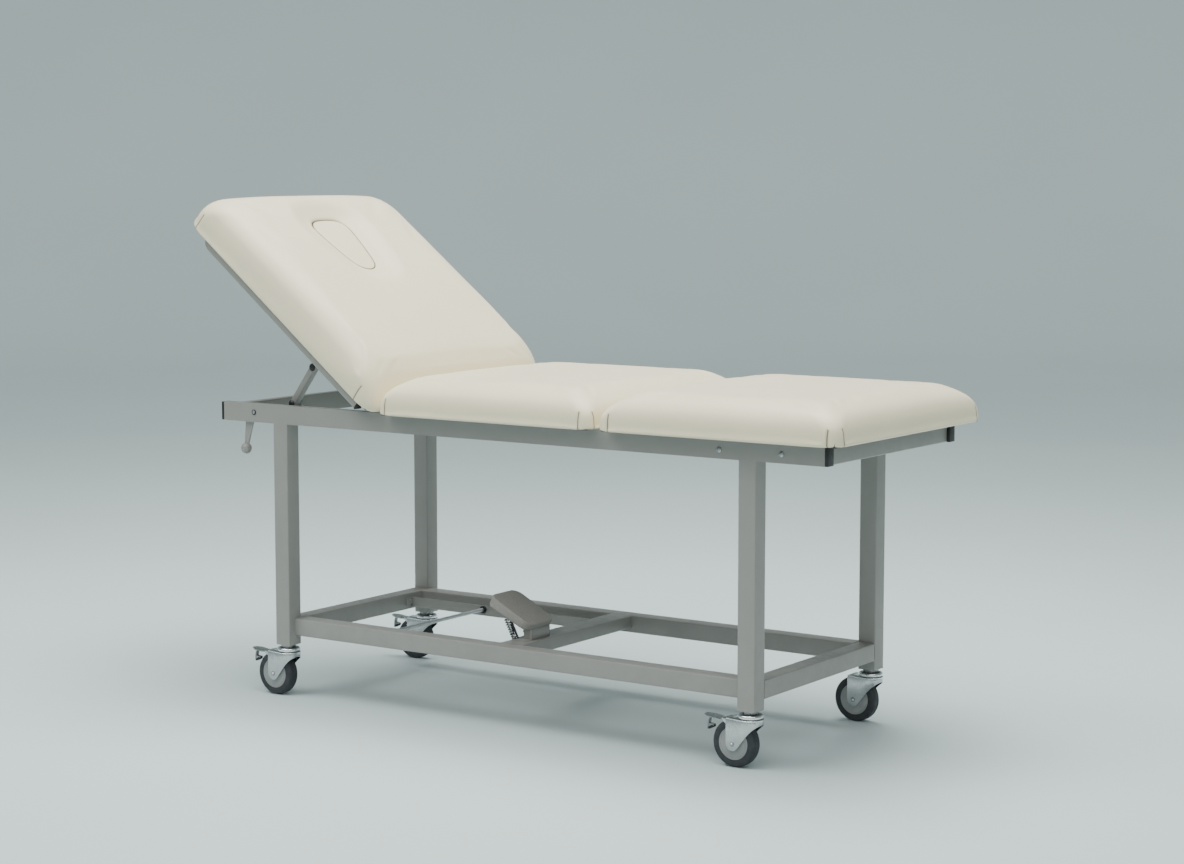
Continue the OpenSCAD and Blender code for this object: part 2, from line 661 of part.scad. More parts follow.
// return spring: one unbroken coil leaning from the cross rail up to the pedal
spring_n = 9;
spring_r = 5.6;
spring_w = 0.9;
spring_a = [-57, pedal_y - 37.5, spring_seat + 2.6];
spring_b = [pedal_pt(66, -pedal_t - 7.6)[0], pedal_y - 37.5, pedal_pt(66, -pedal_t - 7.6)[1]];
spring_k = 8;
function spring_pt(i) =
    let (f = i / (spring_n * spring_k), a = 360 * i / spring_k, d = spring_b - spring_a,
         u = d / norm(d), v = cross([0, 1, 0], u))
    spring_a + f * d + spring_r * (cos(a) * v + sin(a) * [0, 1, 0]);
module spring_tube(n, r) {
    p = [for (i = [0:n]) spring_pt(i)];
    t = [for (i = [0:n]) let (d = p[min(i + 1, n)] - p[max(i - 1, 0)]) d / norm(d)];
    axis = (spring_b - spring_a) / norm(spring_b - spring_a);
    pts = concat([for (i = [0:n]) let (e = cross(t[i], axis), u = e / norm(e), v = cross(t[i], u))
                     for (j = [0:5]) p[i] + r * (cos(60 * j) * u + sin(60 * j) * v)], [p[0], p[n]]);
    c = 6 * (n + 1);
    polyhedron(points = pts, faces = concat(
        [for (i = [0:n - 1]) for (j = [0:5]) let (a = 6 * i + j, b = 6 * i + (j + 1) % 6)
            each [[a, a + 6, b + 6], [a, b + 6, b]]],
        [for (j = [0:5]) [c, j, (j + 1) % 6]],
        [for (j = [0:5]) [c + 1, 6 * n + (j + 1) % 6, 6 * n + j]]), convexity = 6);
}
module pedal_spring() color(zinc) spring_tube(spring_n * spring_k, spring_w);
// least gap of the spring's wire to itself, measured on its points one turn apart
spring_gap = min([for (i = [0:(spring_n - 1) * spring_k]) for (j = [-2:2])
    norm(spring_pt(i + spring_k + j) - spring_pt(i))]) - 2 * spring_w;
echo(spring_gap_mm = spring_gap);

// ---------------------------------------------------------------- castors

stem_r = 6;
crown_z = [110, 121];                        // dome of the double ball race, on its plate
plate_z = 107.6;                             // underside of the fork's top plate
fork_y = wheel_w / 2 + 3;                    // inner face of the fork's cheeks
fork_t = 2.5;
fork_x = -trail - 16;                        // head side edge of the fork
hub_r = wheel_r * hub_k;
brake_p = [-trail - 22, 106];                // brake pedal's pivot, from the swivel axis

module at_castor(c) translate([c[1], c[2] * castor_y, 0]) children();

// plug in the leg's end, neck, stem and the flange that holds the fork, one for each leg
module castor_mounts() color(zinc) for (c = castors) at_castor(c) {
    box([-leg_fx + wall, -leg_fx + wall, castor_h], [leg_fx - wall, leg_fx - wall, castor_h + 18]);
    translate([0, 0, crown_z[1] + 0.2]) cylinder(r = 18, h = castor_h - crown_z[1] - 0.2);
    translate([0, 0, plate_z - 3.6]) cylinder(r = stem_r, h = castor_h - plate_z + 5);
    translate([0, 0, plate_z - 3.6]) cylinder(r = 9, h = 3.4);
}

// fork's cheek: straight towards the head, round at the axle, curved towards the foot
module cheek_2d(ears) difference() {
    polygon(concat([[24, plate_z + 1], [fork_x, plate_z + 1]],
        ears ? [[brake_p[0] - 4, plate_z + 1], [brake_p[0] - 4, 103], [fork_x, 97]] : [],
        [[fork_x, wheel_r]],
        [for (a = [200:20:320]) [-trail + 15.7 * cos(a), wheel_r + 15.7 * sin(a)]],
        [[-trail + 16, 46], [-trail + 25, 56], [-trail + 35, 66.5], [-trail + 44, 75.5],
         [-trail + 54, 84], [24, 88.5]]));
    translate([-trail, wheel_r]) circle(r = 4);
    if (ears) translate(brake_p) circle(r = 2 + run, $fn = 32);
}

// outline of the fork's top plate, drawn in by g
module plate_2d(g) hull() {
    circle(r = 29.5 - g);
    translate([fork_x, -fork_y - fork_t + g]) square([4, 2 * (fork_y + fork_t - g)]);
}

module fork(c) color(zinc) at_castor(c) {
    for (s = [-1, 1]) plate_y(s * fork_y, s * (fork_y + fork_t)) cheek_2d(c[3]);
    difference() {
        union() {
            translate([0, 0, plate_z]) linear_extrude(crown_z[0] - plate_z) plate_2d(0);
            // dome with a groove between its two rings
            rotate_extrude($fn = 48) polygon([[0, crown_z[0] - 0.5], [28, crown_z[0] - 0.5],
                [28.4, crown_z[0] + 1.5], [27.6, crown_z[0] + 2.6], [28.6, crown_z[0] + 3.6],
                [28.4, crown_z[0] + 6], [26.5, crown_z[0] + 8.4], [23, crown_z[0] + 10],
                [18, crown_z[1]], [0, crown_z[1]]]);
        }
        translate([0, 0, 100]) cylinder(r = stem_r + run, h = 40);
    }
    // skirt under the plate's edge, open towards the wheel
    translate([0, 0, 101.8]) linear_extrude(plate_z - 101.8 + eps) difference() {
        plate_2d(0);
        plate_2d(2.4);
        translate([fork_x - 1, -fork_y]) square([12, 2 * fork_y]);
    }
    // axle with its rivet heads
    rod_y(-trail, wheel_r, 4, -fork_y - fork_t, fork_y + fork_t);
    for (s = [-1, 1]) translate([-trail, s * (fork_y + fork_t), wheel_r]) rotate([-90 * s, 0, 0])
        cylinder(r1 = 5.5, r2 = 3.5, h = 2.4);
}

// tyre with rounded shoulders
module tyre(c) color([0.13, 0.14, 0.15]) at_castor(c)
    translate([-trail, wheel_w / 2, wheel_r]) rotate([90, 0, 0]) rotate_extrude($fn = 48)
        polygon(concat([[hub_r, 0]], [for (a = [-90:15:0]) [wheel_r - 9 + 9 * cos(a), 9 + 9 * sin(a)]],
            [for (a = [0:15:90]) [wheel_r - 9 + 9 * cos(a), wheel_w - 9 + 9 * sin(a)]], [[hub_r, wheel_w]]));

// disc wheel centre with a raised boss
module hub(c) color([0.45, 0.46, 0.47]) at_castor(c) difference() {
    union() {
        rod_y(-trail, wheel_r, hub_r, -wheel_w / 2 + 0.6, wheel_w / 2 - 0.6);
        rod_y(-trail, wheel_r, 11, -fork_y + 0.6, fork_y - 0.6);
    }
    rod_y(-trail, wheel_r, 4 + run, -fork_y - 1, fork_y + 1);
}

// brake pedal: barrel and pin, neck, upturned paddle and the tongue bent down under it
module brake(c) color(zinc) at_castor(c) {
    rod_y(brake_p[0], brake_p[1], 2, -fork_y - fork_t + 0.5, fork_y + fork_t - 0.5);
    rod_y(brake_p[0], brake_p[1], 3.2, -fork_y + 1, fork_y - 1);
    translate([brake_p[0], 0, brake_p[1]]) {
        plate_y(-7.5, 7.5) polygon([[0, 3.2], [-16, -1.6], [-16, -4.2], [-2, -3]]);
        translate([-14, 0, -4.4]) rotate([0, 7, 0]) linear_extrude(2.4) polygon([[2, -7.5], [2, 7.5],
            [-5, 15], [-30, 15], [-43, 6], [-43, -6], [-30, -15], [-5, -15]]);
        plate_y(-5, 5) polygon([[-39, -1], [-43, -0.6], [-48, -9], [-49.5, -18], [-50, -31],
            [-46, -30.5], [-33, -22], [-34, -19], [-46, -17.5], [-45, -10]]);
    }
}

// ---------------------------------------------------------------- output

translate([shift_x, 0, 0]) {
    side_rail_near();
    side_rail_far();
    cross_rail_foot();
    cross_rail_seat();
    cross_rail_hinge();
    cross_rail_head();
    rail_end_caps();
    leg(leg_head_x, -1);  // leg_head_near
    leg(leg_head_x, 1);  // leg_head_far
    leg(leg_foot_x, -1);  // leg_foot_near
    leg(leg_foot_x, 1);  // leg_foot_far
    lower_rail(-1);  // lower_rail_near
    lower_rail(1);  // lower_rail_far
    lower_cross_head();
    lower_cross_mid();
    lower_cross_foot();
    rail_screws();
    pad_boards();
    seat_pad();
    foot_pad();
    hinge_ears();
    hinge_pins();
    prop_ramps();
    stay_bar();
    tie_rod();
    pedal_bracket();
    pedal_pin();
    castor_mounts();
    back_board();
    back_pad();
    back_tube(-1);  // back_tube_near
    back_tube(1);  // back_tube_far
    back_tube_top();
    back_caps();
    hinge_lugs();
    prop_lugs();
    face_plug();
    prop_arms();
    prop_tube();
    prop_caps();
    release_lever();
    lever_ball();
    pedal_arm();
    pedal_pad();
    pedal_spring();
    for (c = castors) {
        fork(c);
        tyre(c);
        hub(c);
        if (c[3]) brake(c);
    }
}
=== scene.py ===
"""Examination table on castors: upholstery, coated frame, castors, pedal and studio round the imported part."""

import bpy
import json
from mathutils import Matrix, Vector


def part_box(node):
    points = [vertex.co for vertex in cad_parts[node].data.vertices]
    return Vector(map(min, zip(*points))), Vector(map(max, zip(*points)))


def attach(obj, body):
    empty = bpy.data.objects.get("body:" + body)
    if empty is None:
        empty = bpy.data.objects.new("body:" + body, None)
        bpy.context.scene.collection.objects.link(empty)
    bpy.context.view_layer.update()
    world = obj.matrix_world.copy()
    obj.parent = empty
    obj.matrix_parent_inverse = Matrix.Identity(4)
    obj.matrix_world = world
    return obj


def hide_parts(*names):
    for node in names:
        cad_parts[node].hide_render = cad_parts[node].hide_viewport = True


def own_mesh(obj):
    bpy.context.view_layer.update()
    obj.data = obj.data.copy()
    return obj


bl_info = {
    "name": "Examination Table",
    "version": (1, 0, 0),
    "blender": (4, 5, 0),
    "location": "View3D > Sidebar > Exam Table",
    "description": "Dresses the packed examination table with upholstery, coated tubes, castors and a studio",
    "category": "Object",
}

import contextlib
import json
import math

import bmesh
import bpy
import numpy as np

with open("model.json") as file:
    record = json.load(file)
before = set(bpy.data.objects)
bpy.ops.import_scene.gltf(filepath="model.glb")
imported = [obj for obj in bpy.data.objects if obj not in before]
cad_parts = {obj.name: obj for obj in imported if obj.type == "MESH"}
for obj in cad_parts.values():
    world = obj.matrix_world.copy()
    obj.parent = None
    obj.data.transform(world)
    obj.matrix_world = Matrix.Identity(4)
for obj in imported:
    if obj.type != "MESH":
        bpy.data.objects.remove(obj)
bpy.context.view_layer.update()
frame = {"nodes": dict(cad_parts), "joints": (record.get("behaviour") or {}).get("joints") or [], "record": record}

# ---- places that come from the frame

NODES = frame["nodes"]
JOINTS = {joint["name"]: joint for joint in frame["joints"]}
HINGE = np.array(JOINTS["backrest_tilt"]["pos_m"])
TILT = math.radians(38.3)                     # the backrest at rest
LIFT = 0.008                                  # the back pad's underside over the hinge line
BACK = (-0.726, 0.008)                        # ends of the back pad along the back, in its own frame
BACK_HEIGHT = 0.093                           # of the back pad
SIDE = 0.62                                   # share of a pad's height up to which its side and seams reach
BOARD_IN = 0.014                              # the boards' edges inside the pads' edges
BACK_BOARD_END = -0.016                       # the back board's end at the hinge
OPENING = ((-0.455, 0.0, 0.0465), (-0.567, 0.031, 0.0385), (-0.567, -0.031, 0.0385))   # circles: x, y, radius
OPENING_SOFT = 0.0045                         # how softly the opening's outline passes from circle to circle
BASIN_REACH = 0.078                           # how far from the opening the cover begins to sink
GROOVE_DARK, GROOVE_END = 0.007, 0.016        # depths between which the groove's shade falls to none
SWELL_FRAMES = 20                             # length of the cloth simulation
AXIS = 1e-5                                   # radius at which a lathed profile meets its axis
SHARP_ANGLE, SMALL_ANGLE, ROUND_ANGLE, COVER_ANGLE = 35, 32, 40, 50    # degrees past which an edge is sharp
STITCHES = 1570.0                             # turn of the stitches' wave in a metre: one stitch in 4 mm
CASTORS = ("head_near", "head_far", "foot_near", "foot_far")
BRAKED = CASTORS[:3]
BODY_OF = {node: body for body, nodes in frame["record"]["behaviour"]["bodies"].items() for node in nodes}
SLOT_OF = {part["node"]: part["material_slot"] for part in frame["record"]["subparts"]}


def box(node):
    """Lowest and highest corner of a CAD node, as arrays."""
    low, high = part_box(node)
    return np.array(low), np.array(high)


def joint_at(name):
    """Place of a joint, as an array."""
    return np.array(JOINTS[name]["pos_m"])


def raise_back(points):
    """From the back's own frame to the row frame: a turn by the tilt about the hinge line."""
    x, y, z = np.moveaxis(np.asarray(points, float), -1, 0)
    c, s = math.cos(TILT), math.sin(TILT)
    return np.stack([HINGE[0] + x * c + z * s, y, HINGE[2] - x * s + z * c], axis=-1)


# ---- meshes from arrays

def fill_mesh(piece, verts, faces):
    """Puts points and faces into a piece's empty mesh."""
    faces = faces.tolist() if isinstance(faces, np.ndarray) else faces
    piece.data.from_pydata(np.asarray(verts, float).tolist(), [], faces)


def smooth_all(piece):
    """Sets every face to smooth shading."""
    piece.data.polygons.foreach_set("use_smooth", np.ones(len(piece.data.polygons), bool))


def mesh_piece(name, verts, faces):
    """A new smooth object at the origin from an (n, 3) array of points and a list or array of faces."""
    piece = bpy.data.objects.new(name, bpy.data.meshes.new(name))
    fill_mesh(piece, verts, faces)
    piece.data.validate()
    smooth_all(piece)
    bpy.context.scene.collection.objects.link(piece)
    return piece


def quarter(count):
    """Angles of a quarter turn."""
    return np.linspace(0, np.pi / 2, count)


def smoothstep(t):
    """3 t^2 - 2 t^3, with t held between 0 and 1."""
    t = np.clip(t, 0, 1)
    return t * t * (3 - 2 * t)


def points_of(piece):
    """The mesh's points as an (n, 3) array."""
    co = np.empty(len(piece.data.vertices) * 3)
    piece.data.vertices.foreach_get("co", co)
    return co.reshape(-1, 3)


def mesh_of(piece):
    """The mesh as a (points, faces) pair."""
    return points_of(piece), [list(f.vertices) for f in piece.data.polygons]


def set_points(piece, points):
    """Moves the mesh's points to new places."""
    piece.data.vertices.foreach_set("co", np.asarray(points, float).ravel())
    piece.data.update()


def grid_faces(rows, cols, wrap_rows=False, wrap_cols=False):
    """Quads of a rows x cols grid of points, in row order, with either direction closed on itself."""
    i = np.arange(rows if wrap_rows else rows - 1)[:, None]
    j = np.arange(cols if wrap_cols else cols - 1)[None, :]
    i2, j2 = (i + 1) % rows, (j + 1) % cols
    quads = np.stack([i * cols + j, i * cols + j2, i2 * cols + j2, i2 * cols + j], axis=-1)
    return quads.reshape(-1, 4)


def closed_grid(rows, cols):
    """Faces of a tube of rows rings with cols points each, closed by one face at either end."""
    ends = [list(range(cols)), [(rows - 1) * cols + k for k in reversed(range(cols))]]
    return grid_faces(rows, cols, wrap_cols=True).tolist() + ends


def merge_parts(parts):
    """Joins (points, faces) pairs into one pair; the faces may be an array of quads or a list of polygons."""
    verts, faces, start = [], [], 0
    for points, polys in parts:
        verts.append(points)
        polys = polys.tolist() if isinstance(polys, np.ndarray) else polys
        faces += [[start + k for k in poly] for poly in polys]
        start += len(points)
    return np.concatenate(verts), faces


@contextlib.contextmanager
def editing(piece):
    """The piece's mesh as a bmesh, written back afterwards."""
    bm = bmesh.new()
    bm.from_mesh(piece.data)
    yield bm
    bm.to_mesh(piece.data)
    bm.free()


def turn_normals_out(piece):
    """Merges doubled points and turns every face outwards."""
    with editing(piece) as bm:
        bmesh.ops.remove_doubles(bm, verts=bm.verts, dist=1e-6)
        bmesh.ops.recalc_face_normals(bm, faces=bm.faces)


def shade_by_angle(piece, degrees):
    """Marks the edges that turn by more than the angle as sharp."""
    piece.data.set_sharp_from_angle(angle=math.radians(degrees))


def round_edges(piece, edge):
    """Turns the faces outwards and rounds every edge that turns by more than 40 degrees."""
    with editing(piece) as bm:
        bmesh.ops.recalc_face_normals(bm, faces=bm.faces)
        sharp = [e for e in bm.edges
                 if len(e.link_faces) == 2 and e.calc_face_angle(0.0) > math.radians(ROUND_ANGLE)]
        bmesh.ops.bevel(bm, geom=sharp, offset=edge, offset_type="OFFSET", segments=2, profile=0.6,
                        affect="EDGES", clamp_overlap=True)
    smooth_all(piece)
    shade_by_angle(piece, SMALL_ANGLE)


def apply_modifiers(piece):
    """Keeps the modified shape as the mesh."""
    shown = piece.evaluated_get(bpy.context.evaluated_depsgraph_get())
    mesh = bpy.data.meshes.new_from_object(shown)
    piece.modifiers.clear()
    old, piece.data = piece.data, mesh
    bpy.data.meshes.remove(old)


def finish_piece(piece, material, body, slot, replaced=()):
    """Material, body and replaced CAD nodes of a finished piece; the slot argument is not used."""
    piece.data.materials.clear()
    piece.data.materials.append(material)
    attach(piece, body)
    if replaced:
        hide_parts(*replaced)
    return piece


def make(name, mesh, replaced=(), coat=None, body=None, slot=None, sharp=None, edge=None):
    """A finished piece from (points, faces), turned outwards, with its edges marked sharp or rounded. Its body is
    that of the first CAD node it replaces, and its coat is that of the node's slot, unless they are given."""
    piece = mesh_piece(name, *mesh)
    turn_normals_out(piece)
    if sharp:
        shade_by_angle(piece, sharp)
    if edge:
        round_edges(piece, edge)
    body = body or BODY_OF[replaced[0]]
    slot = slot or SLOT_OF[replaced[0]]
    return finish_piece(piece, finish(coat or slot), body, slot, replaced)


def rounded_section(width, height, radius, steps=5):
    """Closed loop of a rectangle with quarter-circle corners: each corner's centre plus radius times
    (cos a, sin a), with a running over the four quarters in turn."""
    a = quarter(steps)[None, :] + np.arange(4)[:, None] * np.pi / 2
    sx = np.array([1, -1, -1, 1])[:, None]
    sy = np.array([1, 1, -1, -1])[:, None]
    u = sx * (width / 2 - radius) + radius * np.cos(a)
    v = sy * (height / 2 - radius) + radius * np.sin(a)
    return np.stack([u.ravel(), v.ravel()], axis=-1)


def carried(loop, path, side, up):
    """Profile carried along a path: point = path + u * side + v * up, over all path points and loop points.
    Both ends are closed by one face."""
    path, side, up = (np.asarray(a, float) for a in (path, side, up))
    pts = path[:, None, :] + loop[None, :, 0:1] * side[:, None, :] + loop[None, :, 1:2] * up[:, None, :]
    return pts.reshape(-1, 3), closed_grid(len(path), len(loop))


def bar(low, high, axis, radius):
    """A rounded rectangle carried along one axis, so that it fills the box from low to high."""
    u, v = [k for k in range(3) if k != axis]
    size = high - low
    path = np.tile((low + high) / 2, (2, 1))
    path[:, axis] = low[axis], high[axis]
    return carried(rounded_section(size[u], size[v], radius, 6), path, [np.eye(3)[u]] * 2, [np.eye(3)[v]] * 2)


def along_plan(flat, z):
    """Path at height z over points in plan, with its sideways and its upward directions, for carried."""
    step = np.gradient(flat, axis=0)
    step[0], step[-1] = flat[1] - flat[0], flat[-1] - flat[-2]
    step /= np.linalg.norm(step, axis=1, keepdims=True)
    side = np.column_stack([-step[:, 1], step[:, 0], np.zeros(len(step))])
    return np.column_stack([flat, np.full(len(flat), z)]), side, np.tile([0.0, 0, 1], (len(flat), 1))


def unit_ring(axis, steps, away=(0.3, 0.2, 1.0)):
    """Unit directions square to an axis, evenly spaced round it; away is any direction off the axis."""
    e1 = np.cross(axis, away if abs(axis[2]) < 0.9 else (1.0, 0, 0))
    e1 /= np.linalg.norm(e1)
    a = np.linspace(0, 2 * np.pi, steps, endpoint=False)[:, None]
    return np.cos(a) * e1 + np.sin(a) * np.cross(axis, e1)


def lathe(profile, centre, axis, steps=96):
    """Surface of revolution: (r, h) goes to centre + h * axis + r * (unit direction square to the axis)."""
    axis, profile = np.asarray(axis, float), np.asarray(profile, float)
    r, h = profile[:, 0][:, None, None], profile[:, 1][:, None, None]
    pts = np.asarray(centre, float) + h * axis + r * unit_ring(axis, steps)
    return pts.reshape(-1, 3), grid_faces(len(profile), steps, wrap_cols=True)


def mirrored(profile):
    """A profile of (radius, place) pairs, followed by its mirror image about place 0."""
    return profile + [(r, -h) for r, h in reversed(profile)]


def take_away(piece, tool):
    """Cuts one piece's shape out of another, and removes it."""
    cut = piece.modifiers.new("Cut", "BOOLEAN")
    cut.operation, cut.object, cut.solver = "DIFFERENCE", tool, "EXACT"
    apply_modifiers(piece)
    bpy.data.objects.remove(tool)


# ---- node helpers

class Nodes:
    """Small wrapper round a material's node tree, so that finishes read as short lines."""

    def __init__(self, name, colour, roughness, metallic=0.0):
        self.mat = bpy.data.materials.new(name)
        self.mat.use_nodes = True
        self.tree = self.mat.node_tree
        self.shader = self.tree.nodes["Principled BSDF"]
        self.shader.inputs["Base Color"].default_value = (*colour, 1)
        self.shader.inputs["Roughness"].default_value = roughness
        self.shader.inputs["Metallic"].default_value = metallic

    def add(self, kind, inputs=(), **values):
        """A node with the given settings, and with values or links for some of its inputs."""
        node = self.tree.nodes.new(kind)
        for key, value in values.items():
            setattr(node, key, value)
        for key, value in inputs:
            self.put(value, node.inputs[key])
        return node

    def put(self, value, socket):
        if hasattr(value, "links"):
            self.tree.links.new(value, socket)
        else:
            socket.default_value = value

    def coords(self, place=None, turn=0.0, stretch=None):
        """Object coordinates; with place and turn, those of a frame that stands there, turned about Y."""
        out = self.add("ShaderNodeTexCoord").outputs["Object"]
        if place is not None:
            inputs = [("Location", place), ("Rotation", (0, turn, 0)), ("Vector", out)]
            out = self.add("ShaderNodeMapping", inputs, vector_type="TEXTURE").outputs["Vector"]
        if stretch is not None:
            out = self.add("ShaderNodeMapping", [("Scale", stretch), ("Vector", out)]).outputs["Vector"]
        return out

    def math(self, kind, a, b=0.0, c=0.0):
        return self.add("ShaderNodeMath", enumerate((a, b, c)), operation=kind).outputs[0]

    def times(self, a, b):
        return self.math("MULTIPLY", a, b)

    def plus(self, a, b):
        return self.math("ADD", a, b)

    def split(self, vector):
        return self.add("ShaderNodeSeparateXYZ", [(0, vector)]).outputs

    def noise(self, vector, scale, detail=4.0, roughness=0.5):
        return self.add("ShaderNodeTexNoise", [("Vector", vector), ("Scale", scale), ("Detail", detail),
                                               ("Roughness", roughness)]).outputs["Fac"]

    def cells(self, vector, scale, smooth=None):
        """Distance to the nearest of many scattered points, softened by smooth."""
        inputs = [("Vector", vector), ("Scale", scale)] + ([] if smooth is None else [("Smoothness", smooth)])
        feature = "F1" if smooth is None else "SMOOTH_F1"
        return self.add("ShaderNodeTexVoronoi", inputs, feature=feature).outputs["Distance"]

    def ramp(self, value, low, high, to_low=0.0, to_high=1.0):
        return self.add("ShaderNodeMapRange", enumerate((value, low, high, to_low, to_high)),
                        interpolation_type="SMOOTHSTEP").outputs[0]

    def tones(self, value, first, second, low=0.3, high=0.7):
        """Colour that runs from first to second as a value goes from low to high."""
        return self.blend(self.ramp(value, low, high), first, second)

    def blend(self, share, first, second):
        first, second = ((*value, 1) if hasattr(value, "__len__") else value for value in (first, second))
        return self.add("ShaderNodeMix", [(0, share), (6, first), (7, second)], data_type="RGBA").outputs[2]

    def bump(self, height, distance, strength=1.0, under=None):
        inputs = [("Strength", strength), ("Distance", distance), ("Height", height)]
        if under is not None:
            inputs.append(("Normal", under))
        return self.add("ShaderNodeBump", inputs).outputs["Normal"]

    def end(self, colour=None, roughness=None, normal=None):
        for value, name in ((colour, "Base Color"), (roughness, "Roughness"), (normal, "Normal")):
            if value is not None:
                self.put(value, self.shader.inputs[name])
        return self.mat


def shade(colour, factor):
    """A colour times a factor, with each channel at most 1."""
    return tuple(min(1.0, c * factor) for c in colour[:3])


# ---- finishes

def powder_coat(name, colour):
    """Sprayed and baked coat: a fine orange peel, faint mottling, and a little dust low down."""
    n = Nodes(name, colour, 0.42)
    co = n.coords()
    mottle = n.noise(co, 14.0, 5.0, 0.6)
    speck = n.noise(co, 1400.0, 2.0, 0.5)
    base = n.tones(mottle, shade(colour, 0.98), shade(colour, 1.02))
    base = n.blend(n.ramp(speck, 0.62, 0.78, 0.0, 0.18), base, shade(colour, 1.25))
    dust = n.times(n.ramp(n.split(co)[2], 0.02, 0.35, 0.12, 0.0), n.ramp(mottle, 0.35, 0.65))
    base = n.blend(dust, base, (0.50, 0.48, 0.45))
    rough = n.ramp(n.noise(co, 60.0, 3.0), 0.3, 0.7, 0.36, 0.50)
    peel = n.bump(n.noise(co, 420.0, 2.0, 0.4), 0.00012, 0.55)
    return n.end(base, rough, peel)


def vinyl(name, colour, pad=None, place=None, turn=0.0, groove_shaded=False):
    """Cream upholstery vinyl: pebbled grain, slow undulation, and sewn seams where pad says.
    A seam is a thin sunk line with stitches on one side, at both ends of each corner, fading upwards; painted
    shade darkens its line to dark brown and the cover beside it a little, for the shade in the fold."""
    n = Nodes(name, colour, 0.42)
    n.shader.inputs["Sheen Weight"].default_value = 0.10
    n.shader.inputs["Sheen Roughness"].default_value = 0.4
    n.shader.inputs["Specular IOR Level"].default_value = 0.38
    co = n.coords(place, turn) if place is not None else n.coords()
    grain = n.cells(co, 620.0, 0.6)
    fine = n.noise(co, 1500.0, 3.0, 0.6)
    slow = n.noise(co, 7.0, 2.0, 0.4)
    base = n.tones(slow, shade(colour, 0.985), shade(colour, 1.015), 0.35, 0.65)
    base = n.blend(n.ramp(grain, 0.1, 0.6, 0.0, 0.08), base, shade(colour, 0.82))
    rough = n.ramp(n.noise(co, 35.0, 4.0), 0.3, 0.7, 0.38, 0.48)
    normal = n.bump(n.plus(grain, n.times(fine, 0.35)), 0.00014, 0.4)
    if pad:
        x0, x1, half, height, seams = pad
        x, y, z = n.split(co)
        side = n.math("ABSOLUTE", y)

        def far_from(value, target):
            return n.math("ABSOLUTE", n.math("SUBTRACT", value, target))

        def only(distance, mask):
            return n.plus(distance, n.math("SUBTRACT", 1.0, mask))
        on_side = n.math("GREATER_THAN", side, half - 0.012)
        at_head = n.math("LESS_THAN", x, x0 + 0.014)
        at_foot = n.math("GREATER_THAN", x, x1 - 0.014)
        long_side = n.math("MINIMUM", far_from(x, x0 + seams[0]), far_from(x, x1 - seams[1]))
        gap = n.math("MINIMUM", only(long_side, on_side),
                     n.math("MINIMUM", only(far_from(side, half - seams[2]), at_head),
                            only(far_from(side, half - seams[3]), at_foot)))
        gap = n.plus(gap, n.ramp(z, 0.46 * height, SIDE * height, 0.0, 0.02))
        line = n.ramp(gap, 0.0007, 0.0019, 1.0, 0.0)
        pull = n.ramp(gap, 0.0, 0.006, 1.0, 0.0)
        beside = n.times(n.ramp(gap, 0.0034, 0.0030), n.ramp(gap, 0.0022, 0.0026))
        stitch = n.math("SINE", n.times(z, STITCHES))
        stitch = n.times(beside, n.math("GREATER_THAN", stitch, -0.2))
        # painted shade in the seam's fold: the cover beside it a little darker, the line itself dark brown
        base = n.blend(n.times(pull, 0.10), base, shade(colour, 0.6))
        base = n.blend(n.times(line, 0.9), base, (0.23, 0.17, 0.10))
        sunk = n.plus(n.times(line, -1.2), n.times(pull, -0.9))
        sunk = n.plus(sunk, n.times(stitch, 0.25))
        normal = n.bump(sunk, 0.0010, 0.9, under=normal)
    # painted shade in the groove round the face plug: brown, then near black, by the stored groove depth
    if groove_shaded:
        depth = n.add("ShaderNodeAttribute", attribute_name="groove").outputs["Fac"]
        base = n.blend(n.ramp(depth, 0.06, 0.6, 0.0, 0.5), base, (0.50, 0.40, 0.27))
        base = n.blend(n.ramp(depth, 0.40, 0.95, 0.0, 0.92), base, (0.17, 0.115, 0.06))
    normal = n.bump(slow, 0.004, 0.10, under=normal)
    return n.end(base, rough, normal)


def bright_zinc(name, colour, roughness=0.22, cloudy=0.06):
    """Bright zinc plate: clean metal with a faint cloudiness in tone and gloss."""
    n = Nodes(name, colour, roughness, 1.0)
    co = n.coords()
    cloud = n.noise(co, 45.0, 3.0, 0.5)
    base = n.tones(cloud, shade(colour, 1 - cloudy), shade(colour, 1 + cloudy))
    rough = n.ramp(n.noise(co, 160.0, 3.0), 0.3, 0.7, roughness * 0.8, roughness * 1.25)
    return n.end(base, rough, n.bump(n.noise(co, 260.0, 2.0), 0.00002, 0.25))


def race_zinc(name, colour, groove, lip):
    """Bright zinc of a castor's crown, with painted shade in the groove under the race and a painted dark
    reflection above its lip.
    """
    n = Nodes(name, colour, 0.2, 1.0)
    co = n.coords()
    z = n.split(co)[2]
    under = n.ramp(z, groove[0] - 0.0003, groove[0], 1.0, 0.0)
    bare = n.plus(under, n.times(n.ramp(z, groove[1], groove[1] + 0.0006),
                                  n.ramp(z, lip, lip + 0.0012, 1.0, 0.0)))
    cloud = n.ramp(n.noise(co, 70.0, 4.0, 0.6), 0.3, 0.7, 0.16, 0.42)
    # painted shade and dark reflection: near-black zinc wherever the crown is not bare
    dark_reflection = n.blend(cloud, (0.03, 0.035, 0.036), colour)
    return n.end(n.blend(bare, dark_reflection, colour), n.ramp(bare, 0.0, 1.0, 0.38, 0.2))


def moulded(name, colour, roughness, grain=900.0, depth=0.0001):
    """Moulded plastic: matt, with a fine spark-eroded texture and slight tone changes."""
    n = Nodes(name, colour, roughness)
    co = n.coords()
    base = n.tones(n.noise(co, 30.0, 3.0), shade(colour, 0.92), shade(colour, 1.08))
    rough = n.ramp(n.noise(co, 120.0, 2.0), 0.3, 0.7, roughness * 0.85, roughness * 1.15)
    return n.end(base, rough, n.bump(n.noise(co, grain, 3.0), depth, 0.5))


